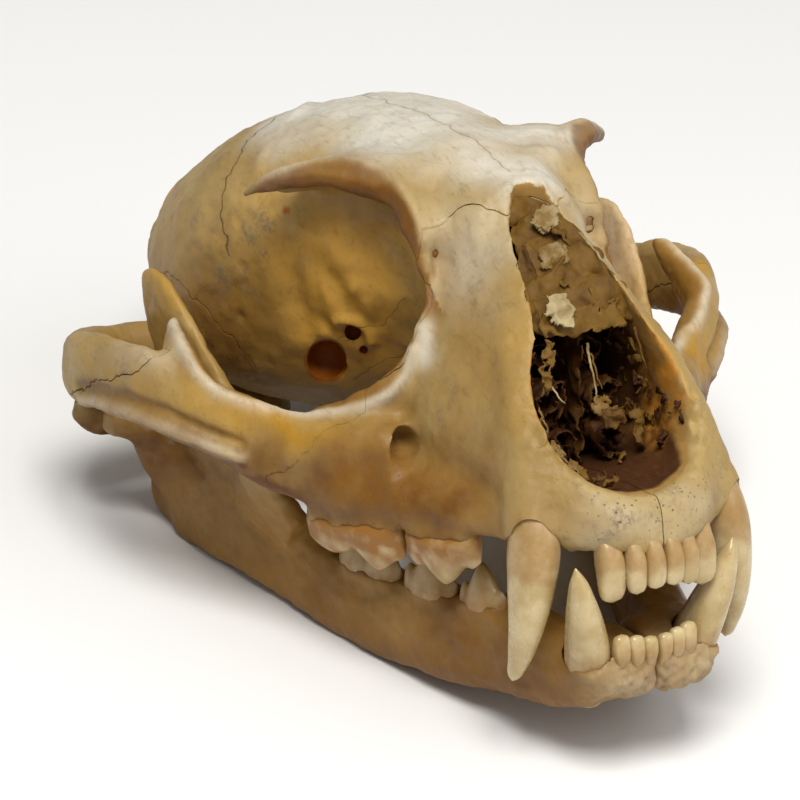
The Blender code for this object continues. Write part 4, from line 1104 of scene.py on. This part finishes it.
# %% [markdown]
# ## Shader arithmetic
#
# Materials are easier to read as sums than as boxes and wires. A small class wraps a socket, so
# that an expression such as mask * 0.5 + 0.2 adds its own Math nodes.

# %% A socket that can be reckoned with
class Wire:
    """One output socket of a material, with arithmetic."""

    def __init__(self, shader, socket):
        self.shader, self.socket = shader, socket

    def math(self, operation, other=0.0, clamp=False):
        settings = {"operation": operation, "use_clamp": clamp}
        return self.shader.node("ShaderNodeMath", settings, {0: self, 1: other})

    def __add__(self, other):
        return self.math("ADD", other)

    def __mul__(self, other):
        return self.math("MULTIPLY", other)

    def __sub__(self, other):
        return self.math("SUBTRACT", other)

    def __rsub__(self, other):
        return self.math("MULTIPLY", -1.0).math("ADD", other)

    def held(self):
        """Kept between 0 and 1."""
        return self.math("ADD", 0.0, clamp=True)

    def step(self, low, high):
        """0 below low and 1 above high, smooth between. High may be the lower of the two."""
        if low > high:
            return 1.0 - self.step(high, low)
        settings = {"interpolation_type": "SMOOTHSTEP"}
        span = {"Value": self, "From Min": low, "From Max": high}
        return self.shader.node("ShaderNodeMapRange", settings, span)


class Shader:
    """A material under construction."""

    def __init__(self, name):
        self.material = bpy.data.materials.new(name)
        self.material.use_nodes = True
        self.tree = self.material.node_tree
        self.tree.nodes.clear()

    def node(self, kind, settings=None, inputs=None, output=0):
        node = self.tree.nodes.new(kind)
        for key, value in (settings or {}).items():
            setattr(node, key, value)
        for key, value in (inputs or {}).items():
            if isinstance(value, Wire):
                self.tree.links.new(value.socket, node.inputs[key])
            else:
                node.inputs[key].default_value = value
        return Wire(self, node.outputs[output]) if node.outputs else None

    def place(self):
        return self.node("ShaderNodeTexCoord", output="Object")

    def told(self, attribute):
        """A number that each vertex carries."""
        return self.node("ShaderNodeAttribute", {"attribute_name": attribute}, output="Fac")

    def noise(self, per_mm, detail=4.0, rough=0.55, stretch=None):
        """Cloudy noise with this many features per millimetre. A stretch scales x, y and z first."""
        place = self.stretched(stretch) if stretch else self.place()
        inputs = {"Vector": place, "Scale": per_mm / MM, "Detail": detail, "Roughness": rough}
        return self.node("ShaderNodeTexNoise", None, inputs)

    def stretched(self, scale):
        return self.node("ShaderNodeMapping", None, {"Vector": self.place(), "Scale": scale})

    def cells(self, per_mm):
        return self.node("ShaderNodeTexVoronoi", None, {"Vector": self.place(), "Scale": per_mm / MM})

    def blend(self, share, first, second):
        """Mixes two colours, each an ink or a wire, by a share."""
        colours = [c if isinstance(c, Wire) else (*c, 1.0) for c in (first, second)]
        return self.node("ShaderNodeMix", {"data_type": "RGBA"}, {0: share, 6: colours[0], 7: colours[1]}, 2)

    def layers(self, colour, coats):
        """Lays coats over a colour, one after another. A coat is (share, ink)."""
        for share, coat in coats:
            colour = self.blend(share.held(), colour, coat)
        return colour

    def surface(self, inputs, height=None, depth=0.0):
        """The Principled shader, with a bump of this depth in millimetres."""
        inputs = dict(inputs)
        if height is not None:
            bump = {"Height": height, "Distance": depth * MM, "Strength": 1.0}
            inputs["Normal"] = self.node("ShaderNodeBump", None, bump)
        shader = self.node("ShaderNodeBsdfPrincipled", None, inputs)
        self.node("ShaderNodeOutputMaterial", None, {"Surface": shader})
        return self.material


def ink(red, green, blue):
    """A colour as seen, 0 to 255, made linear for the shader."""
    seen = np.array((red, green, blue)) / 255
    return tuple(np.where(seen < 0.04045, seen / 12.92, ((seen + 0.055) / 1.055) ** 2.4).tolist())


# %% [markdown]
# ## Where the stains, the painted light and shade, and the fine lines go
#
# Old bone isn't one colour: it is cloudy tan, with grey mottling and brown stains. Light and shade are
# painted over it as well: the vault is paler towards its top, painted highlights run along the
# cheekbone's edges, a painted golden glow lies where thin bone would let light through, and painted
# shade darkens the hollows, the eye socket, the nose and the undersides. Each of these is a number on
# every vertex, worked out from its place on the skull. The fine sutures and cracks are told as a
# distance: each vertex knows how far it is from the nearest drawn line, and the shader darkens what is
# close.

# %% Numbers for the paint
drawn = (  # lines, how much they sway, how dark they are, and whether they are on both sides
    (((0, 37, 45.9), (0.2, 45, 48), (-0.2, 53, 49), (0.3, 62, 50), (-0.3, 70, 50.4), (0.2, 78, 50.3),
      (0, 86, 49.4)), 0.5, 0.4, False),
    (((0, 86, 49.4), (4, 88.5, 49), (7.6, 89.8, 47.8), (12, 86.5, 47.4), (16.3, 83.9, 46.1), (20, 81.9, 43.8),
      (22.8, 80.1, 40.9), (24.1, 79, 38.6), (25, 77, 35), (25.2, 75.5, 31)), 0.75, 0.85, True),
    (((26, 95, 22), (28.5, 90, 27), (29, 82, 25), (27, 76, 19), (25, 73, 13)), 0.6, 0.45, True),
    (((15.4, 38, 30), (14, 45, 27), (14.5, 54, 22.5), (16.5, 61, 19.5)), 0.6, 0.35, True),
    (((14, 46, 18), (13.6, 55, 15.6), (14.5, 62, 12)), 0.6, 0.3, True),
)
lines = []
for number, (line, sway, dark, two_sided) in enumerate(drawn):
    for side in (1, -1) if two_sided else (1,):
        laid, normals = onto_skin(np.array(line) * (side, 1, 1), 0.3, sway, 900 + 10 * number + side)
        lines.append((laid, normals, dark))
brow_edge, cheek_edge = onto_skin(BROW_EDGE), onto_skin(CHEEK_EDGE)
NEAR_LINE = 0.9  # a line is drawn on vertices up to this many millimetres away
FAR = 9.0  # stands for a distance from a line that isn't near

# the patches give the bone's own colours, and painted light and shade as well: painted highlights in the pale
# ones on rims and ridges, a painted glow in the golden ones on thin bone and shaded inner faces, and painted
# shade in the ochre and stain ones under the brow, the arch and the cheekbone
PATCHES = {  # name: (middle, radii, strength) of every soft patch, on the folded skull
    "pale_and_highlight": (
        ((9.1, 33.4, 36.2), (5, 7, 7), 0.35), ((6, 1, 5), (9, 5, 4), 0.22), ((5, 3, -16), (6, 4, 4), 0.25),
        ((46, 62, 25), (5, 7, 4), 0.4), ((15.6, 35.0, 25), (1.6, 3, 4), 0.7),
    ),
    "gold_and_glow": (
        ((34.3, 48, 14.5), (6, 7, 3.6), 0.8), ((29.5, 43.2, 14), (5, 6, 2.8), 0.7),
        ((40, 60, 20), (4, 8, 6), 0.8), ((35, 76, 24), (5, 8, 9), 0.9), ((47, 74, 20), (4, 8, 6), 0.3),
        ((9.5, 18, 27), (3, 8, 12), 0.4), ((9.2, 18.6, 12.8), (2.0, 2.8, 3.4), 0.9),
    ),
    "ochre_and_shade": (
        ((20, 52, 41), (9, 12, 4.4), 0.5), ((20, 26, 5), (11, 14, 9), 0.9), ((26, 40, 8), (8, 9, 6), 0.9),
        ((26, 76, 20), (6, 12, 12), 0.6), ((28, 92, 20), (10, 14, 16), 0.5), ((44, 70, 12), (8, 16, 5), 0.6),
        ((15.5, 24, 20), (4, 6, 12), 0.4), ((12, 46, 38), (6, 10, 8), 0.7), ((18, 79, 44.5), (5, 6, 4), 0.5),
        ((17, 46, 43), (6, 7, 3), 0.5),
    ),
    "eye": (
        ((17.6, 61.9, 31.8), (9, 12, 10), 0.9), ((15, 56.4, 24), (8, 14, 10), 0.9),
        ((13, 58, 15), (9, 16, 6), 0.6),
    ),
    "stain_and_shade": (
        ((19.5, 36, 11), (4, 5, 4.5), 0.1), ((24.8, 33, 8.5), (5, 5, 3.5), 0.25),
        ((29.5, 38.6, 3.8), (7, 9, 3.5), 0.8), ((21, 24, 3.5), (6, 6, 3.5), 0.5),
        ((36, 82.5, 4), (10, 16, 6), 0.9), ((12.5, 60, 11), (8, 14, 5), 0.6), ((43, 64, 8), (8, 16, 4), 0.7),
        ((22, 70, 14), (5, 6, 8), 0.3), ((18.0, 50.0, 39.5), (6, 8, 3), 0.45), ((31, 47, 8), (7, 7, 4), 0.8),
        ((19, 24, 6), (8, 9, 6), 0.45),
    ),
    "grey": (
        ((25.5, 77, 33), (5, 7, 5), 0.9), ((22, 69, 32.5), (4, 6, 4), 0.7), ((13.3, 53, 36), (4, 5, 4), 0.7),
        ((24.6, 73.6, 28), (5, 5, 5), 0.6), ((14, 24, 21), (4, 6, 10), 0.3), ((12, 30, 31), (4, 5, 6), 0.5),
        ((18, 30, 14), (5, 5, 5), 0.35), ((3, 36, 44), (4, 6, 4), 0.3), ((5, 3, 6), (9, 5, 4), 0.6),
        ((45, 70, 20), (5, 10, 5), 0.4),
    ),
}


def off_line(places, line, normals):
    """The signed distance from a line that lies on the skin, and whether a place lies beyond its ends.

    The sign is that of the way across the line: its direction times the skin's normal."""
    signed, beyond = np.full(len(places), FAR), np.zeros(len(places), bool)
    for k in range(len(line) - 1):
        ab = line[k + 1] - line[k]
        offset = places - line[k]
        t = offset @ ab / (ab @ ab)
        offset = offset - np.clip(t, 0, 1)[:, None] * ab
        away = np.linalg.norm(offset, axis=1)
        better = away < np.abs(signed)
        sign = np.where(offset @ np.cross(ab, normals[k]) < 0, -1.0, 1.0)
        signed[better] = (sign * away)[better]
        beyond[better] = ((t < 0) & (k == 0) | (t > 1) & (k == len(line) - 2))[better]
    return signed, beyond


def line_numbers(places):
    """The signed distance to the nearest drawn line, and how dark the line is where one is near.

    A distance that changes its sign crosses zero exactly on the line, wherever that runs between
    two vertices."""
    signed, near = np.full(len(places), FAR), np.zeros(len(places))
    for line, normals, dark in lines:
        close = ((places > line.min(axis=0) - 1.5) & (places < line.max(axis=0) + 1.5)).all(axis=1)
        index = np.flatnonzero(close)
        here, beyond = off_line(places[index], line, normals)
        better = np.abs(here) < np.abs(signed[index])
        signed[index[better]] = here[better]
        fade = np.clip((NEAR_LINE + 0.2 - np.abs(here)) / 0.35, 0, 1)
        near[index[better]] = (dark * ~beyond * fade)[better]
    return signed, near


def hole_numbers(folded):
    """1 inside the drilled holes, 0 outside."""
    way = np.array(BEHIND_EYE)
    dark = np.zeros(len(folded))
    for centre, radius, *_ in HOLES:
        offset = folded - np.array(centre)
        deep = offset @ way
        away = np.linalg.norm(offset - deep[:, None] * way, axis=1)
        within = rise(radius * 1.12 - away, -0.25, 0.1)
        dark = np.maximum(dark, within * rise(deep, -0.6, 0.7) * rise(-deep, -9.0, -8.0))
    return dark


def nose_numbers(places, normals):
    """How many millimetres a place lies behind the nose's rim, or -1 where it is no part of the nose.

    The walls inside the nose are told from the face outside by their normals, which point inwards."""
    rim = np.array(NOSE_RIM)[::-1]
    x, y, z = places.T
    half = np.interp(z, rim[:, 2], rim[:, 0])
    deep = y - np.interp(z, rim[:, 2], rim[:, 1])
    deep = deep + 8 * rise(-z, -15, -8) * rise(deep, 1, 6)
    outwards = np.column_stack([x, 0 * y, z - 16.0])
    outwards /= np.linalg.norm(outwards, axis=1, keepdims=True)
    inside = (np.abs(x) < half + 1.5) & (z > 6.0) & (y < 41) & (z < 48)
    faces_in = (normals * outwards).sum(axis=1) < 0.15
    return np.where(inside & faces_in & (deep > -0.5), deep, -1.0)


def paint_numbers(piece):
    """Tells every vertex of a bone its colours, stains, painted light and shade, depth and lines."""
    mesh, name = piece.data, piece.name
    is_jaw = "lower_jaw" in name
    places, normals = to_skull(places_of(mesh)), normals_of(mesh) @ turn
    folded = both_sides(places)
    x, y, z = folded.T
    down = -normals[:, 2]
    wander = folded + 1.6 * shaken(places, 9.0, 61)
    cloud = lumps(places, 14.0, 71)
    numbers = {
        key: sum(strength * around_place(wander, middle, radii) for middle, radii, strength in patches)
        for key, patches in PATCHES.items()
    }

    # painted shade on the brow's underside: high up, only faces that look down keep ochre and stain
    underside = rise(0.3 + down, -0.25, 0.35)
    numbers["ochre_and_shade"] *= np.where(z > 38, underside, 1.0)
    numbers["stain_and_shade"] *= np.where(z > 36, underside, 1.0)
    numbers["stain_and_shade"] += 0.35 * rise(z, 36, 40) * underside * (x > 9) * (y > 38)

    # painted highlights on the cheekbone's edge and ledge, painted shade in the groove above the ledge
    numbers["pale_and_highlight"] += 0.6 * ridge(folded, CHEEK_EDGE, 0.9) + 0.45 * ridge(folded, ARCH_LEDGE, 0.9)
    numbers["stain_and_shade"] += 0.55 * ridge(folded, ARCH_GROOVE, 0.9)
    # painted light on the inner face of the left coronoid, which lies in the vault's shade
    numbers["pale_and_highlight"] += 0.5 * around_place(places, (34, 74, 24), (5, 10, 10))
    numbers["eye"] += 0.9 * around_place(places, (34, 70, 24), (5, 10, 10))

    # below the brow's edge and inside the cheekbone's edge the eye socket is in its own shade
    if not is_jaw:
        under_brow = -off_line(folded, *brow_edge)[0]
        under_brow = rise(under_brow, 0.1, 1.3) * rise(-under_brow, -8.5, -4)
        in_socket = off_line(folded, *cheek_edge)[0]
        in_socket = rise(in_socket, 0.3, 1.6) * rise(-in_socket, -8.5, -4)
        numbers["pale_and_highlight"] *= 1 - 0.9 * np.maximum(under_brow, in_socket)
        numbers["stain_and_shade"] += 0.55 * under_brow + 0.3 * in_socket
        numbers["ochre_and_shade"] += 0.8 * under_brow + 0.6 * in_socket
        # painted shade on the faces of the arch that look down
        numbers["stain_and_shade"] += 0.6 * rise(down, 0.05, 0.7) * rise(x, 28, 34)

    # the vault is pale, and the lower jaw is browner towards its lower edge
    numbers["pale_and_highlight"] += 0.9 * rise(z + 2.5 * cloud - 0.15 * x, 40, 49)
    if is_jaw:
        off_chin = 1 - 0.7 * around_place(folded, (6, 4, -17), (8, 6, 6))
        numbers["ochre_and_shade"] += 0.8 * rise(-z, -8, 2) * off_chin
        numbers["stain_and_shade"] += 0.6 * rise(-z + 2.5 * cloud - 0.1 * y, 6, 15) * off_chin
        numbers["grey"] += 0.8 * around_place(folded, (5, 5, -16), (7, 5, 5))

    # pores, drilled holes, the walls of the nose and the fine lines
    numbers["rim"] = around_place(folded, (3.5, 3.0, 6.0), (6.5, 4.0, 3.0))
    numbers["rim"] += 0.4 * around_place(folded, (22, 30, 4), (6, 10, 4))
    numbers["hole"] = hole_numbers(folded)
    numbers["deep"] = nose_numbers(places, normals)
    # painted golden glow on the nose's inner wall
    numbers["gold_and_glow"] += 0.9 * around_place(folded, (10.5, 15.5, 20), (4, 5, 8)) * (numbers["deep"] > 0)
    if "jaw" in name:
        numbers["line"], numbers["near"] = np.full(len(places), FAR), np.zeros(len(places))
    else:
        numbers["line"], numbers["near"] = line_numbers(places)
    for key, values in numbers.items():
        tell(mesh, key, values)


# %% [markdown]
# ## Bone
#
# Ivory bone is a warm grey-yellow with cloudy patches, faint grey mottling, and pores. It is a
# little translucent, so light softens in it, and its round faces have a dull shine.

# %% The bone material
def bone_material():
    shader = Shader("old_bone")
    wide, mid, fine = shader.noise(0.06, 4.0), shader.noise(0.25, 5.0, 0.6), shader.noise(1.6, 4.0, 0.6)
    pale_and_highlight, gold_and_glow, ochre_and_shade = (shader.told(name) for name in ("pale_and_highlight", "gold_and_glow", "ochre_and_shade"))
    eye, stain_and_shade, grey = (shader.told(name) for name in ("eye", "stain_and_shade", "grey"))
    rim, hole, deep, near = (shader.told(name) for name in ("rim", "hole", "deep", "near"))
    line = shader.told("line").math("ABSOLUTE")
    mottle = mid.step(0.5, 0.66) * fine.step(0.35, 0.6) * (grey + 0.1)
    outside = shader.blend(wide.step(0.35, 0.65), ink(150, 122, 68), ink(172, 147, 94))
    # besides the bone's colours, these coats lay on painted light and shade: golden glow, the eye coat's
    # painted light, highlights in the pale coat, and shade in the ochre and stain coats
    outside = shader.layers(outside, (
        (gold_and_glow * (mid * 0.5 + 0.7), ink(178, 134, 40)),
        (ochre_and_shade * (mid * 0.9 + 0.5), ink(136, 92, 24)),
        (eye * (mid * 0.7 + 0.65), ink(192, 146, 62)),
        (pale_and_highlight * (mid * 0.7 + 0.6), ink(215, 211, 198)),
        (stain_and_shade * (mid * 1.2 + 0.3), ink(94, 54, 4)),
        (mottle, ink(112, 102, 82)),
    ))
    # the nose's walls get painted shade that deepens behind the rim, and a painted golden glow
    wall = shader.blend(deep.step(0.4, 2.4), ink(176, 150, 96), ink(160, 124, 66))
    wall = shader.layers(wall, (
        ((deep + mid * 4.0).step(5.5, 10.0), ink(66, 34, 6)),
        (gold_and_glow * mid.step(0.35, 0.6), ink(182, 122, 38)),
    ))
    pits = shader.cells(1.3).step(0.26, 0.1) * fine.step(0.42, 0.56) * (rim * 0.9 + 0.1)
    suture = (line + (fine - 0.5) * 0.14).step(0.15, 0.05) * near * mid.step(0.3, 0.42)
    grain = shader.noise(1.3, 4.0, 0.65, stretch=(1.0, 0.3, 0.6))
    colour = shader.layers(shader.blend(deep.step(-0.2, 0.8), outside, wall), (
        (pits * 0.8, ink(70, 48, 22)),
        (line.step(1.0, 0.1) * near * 0.25, ink(140, 108, 58)),
        (suture * 0.8, ink(74, 50, 24)),
        # painted shade inside the drilled holes
        (hole, ink(150, 82, 18)),
        (grain.step(0.5, 0.75) * 0.3, ink(104, 78, 40)),
    ))
    rough = fine * 0.25 + 0.36 + deep.step(0.0, 2.0) * 0.25 + suture * 0.2
    height = mid * 0.5 + fine * 0.3 + grain * 0.3 - pits * 1.2 - suture * 1.3
    return shader.surface({
        "Base Color": colour, "Roughness": rough.held(), "Specular IOR Level": 0.28,
        "Subsurface Weight": 0.1, "Subsurface Radius": (1.0, 0.55, 0.25), "Subsurface Scale": 0.002,
    }, height, 0.16)


bone = bone_material()
for node, piece in bones.items():
    paint_numbers(piece)
    piece.data.materials.clear()
    piece.data.materials.append(bone)
    piece.data.shade_smooth()
    piece.data.set_sharp_from_angle(angle=math.radians(60))
    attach(piece, "root")
    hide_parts(node)

# %% [markdown]
# ## Enamel
#
# Enamel is smoother and glossier than bone, ivory with a yellower root, and has hairline cracks
# that run along the tooth.

# %% The enamel material
def enamel_material():
    shader = Shader("old_enamel")
    root = shader.told("root")
    wide, fine = shader.noise(0.2, 4.0), shader.noise(1.2, 3.0)
    colour = shader.blend(wide.step(0.35, 0.65), ink(176, 152, 102), ink(198, 178, 134))
    along_tooth = shader.stretched((1500.0, 1500.0, 160.0))
    cracks = shader.node(
        "ShaderNodeTexVoronoi", {"feature": "DISTANCE_TO_EDGE"}, {"Vector": along_tooth, "Scale": 0.28})
    hair = cracks.step(0.03, 0.0) * fine.step(0.45, 0.6)
    colour = shader.layers(colour, (
        (root * 0.5 * (fine * 0.8 + 0.6), ink(142, 94, 22)),
        (hair * 0.3, ink(130, 98, 58)),
    ))
    rough = fine * 0.12 + 0.2 + root * 0.15
    return shader.surface({
        "Base Color": colour, "Roughness": rough.held(), "Coat Weight": 0.15, "Coat Roughness": 0.12,
        "Subsurface Weight": 0.18, "Subsurface Radius": (1.0, 0.65, 0.35), "Subsurface Scale": 0.0015,
    }, wide * 0.6 + fine * 0.4, 0.06)


def root_numbers(piece):
    """How yellow each vertex is: most at the gum, and more on the teeth farther back."""
    places = to_skull(places_of(piece.data))
    y, z = places[:, 1], places[:, 2]
    if "upper" in piece.name:
        root = rise(z + 0.8 * lumps(places, 3.0, 81), -3.2, -0.2)
        root += 1.5 * rise(y, 12, 30) * (0.8 + 0.3 * lumps(places, 2.5, 83))
    else:
        depth = -z - 9.6 - np.clip(10 - y, 0, 4)
        root = rise(depth + 0.8 * lumps(places, 3.0, 82), -2.4, 0.6) + 0.7 * rise(y, 14, 24)
    tell(piece.data, "root", root)


enamel = enamel_material()
for node, piece in teeth.items():
    root_numbers(piece)
    piece.data.materials.clear()
    piece.data.materials.append(enamel)
    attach(piece, "root")
    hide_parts(node)

# %% [markdown]
# ## The stained bone in the nose
#
# Dark brown where a sheet's tone is low, pale where it is high.

# %% The thin bone material
def thin_material():
    shader = Shader("stained_thin_bone")
    wide, fine, tone = shader.noise(0.3, 5.0, 0.6), shader.noise(1.8, 4.0, 0.6), shader.told("tone")
    shade = tone + (wide - 0.5) * 0.7
    colour = shader.blend(shade.step(0.1, 0.55), ink(62, 32, 8), ink(112, 82, 30))
    colour = shader.blend(shade.step(0.6, 0.95), colour, ink(176, 160, 120))
    rough = fine * 0.3 + 0.45
    looks = {"Base Color": colour, "Roughness": rough, "Specular IOR Level": 0.2}
    return shader.surface(looks, fine + wide, 0.15)


scrolls.data.materials.append(thin_material())
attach(scrolls, "root")
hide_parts("nose_scrolls")

# %% [markdown]
# ## Floor and light
#
# The photograph has a plain white ground and soft light from the upper right and from above. A
# large pale floor catches the shadow, one large lamp gives the main light, and a weaker one fills.

# %% Floor
FLOOR_HALF, FLOOR_DROP = 3.0, 0.00005  # metres; the drop keeps the floor just clear of the jaws
floor_mesh = bpy.data.meshes.new("floor")
corners = [(FLOOR_HALF * x, FLOOR_HALF * y, 0) for x, y in ((-1, -1), (1, -1), (1, 1), (-1, 1))]
floor_mesh.from_pydata(corners, [], [(0, 1, 2, 3)])
floor = piece_from("floor", floor_mesh)
floor.location.z = -FLOOR_DROP
paper = Shader("pale_paper")
floor_mesh.materials.append(paper.surface({"Base Color": (0.86, 0.86, 0.86, 1.0), "Roughness": 0.9}))


# %% Lamps
def lamp(name, away, size, power, warmth):
    """A square lamp that stands off the skull by a vector and points at it."""
    data = bpy.data.lights.new(name, "AREA")
    data.size = size
    data.energy = power
    data.color = warmth
    stand = bpy.data.objects.new(name, data)
    bpy.context.scene.collection.objects.link(stand)
    stand.location = Vector((0.0, 0.0, 0.03)) + Vector(away)
    stand.rotation_euler = (-Vector(away)).to_track_quat("-Z", "Y").to_euler()


lamp("window", away=(-0.2, -0.35, 0.93), size=0.45, power=10.2, warmth=(1.0, 0.98, 0.94))
lamp("sky", away=(0.45, -0.6, 0.6), size=0.9, power=3.2, warmth=(1.0, 0.98, 0.95))
ROOM_LIGHT = 0.26
world = bpy.data.worlds.new("room")
bpy.context.scene.world = world
world.use_nodes = True
background = world.node_tree.nodes["Background"]
background.inputs["Color"].default_value = (1.0, 1.0, 1.0, 1.0)
background.inputs["Strength"].default_value = ROOM_LIGHT
bpy.context.scene.view_settings.view_transform = "Standard"

# %% [markdown]
# ## The size, once more
#
# Lumps and smoothing may have pushed a vertex a few hundredths of a millimetre out of the solids'
# box, so every vertex is held inside it.

# %% Sizes and the end
BOX_MARGIN = 0.02 * MM
low, high = np.array(cad_box[0]) + BOX_MARGIN, np.array(cad_box[1]) - BOX_MARGIN
for piece in (*bones.values(), *teeth.values(), scrolls):
    put_places(piece.data, np.clip(places_of(piece.data), low, high))
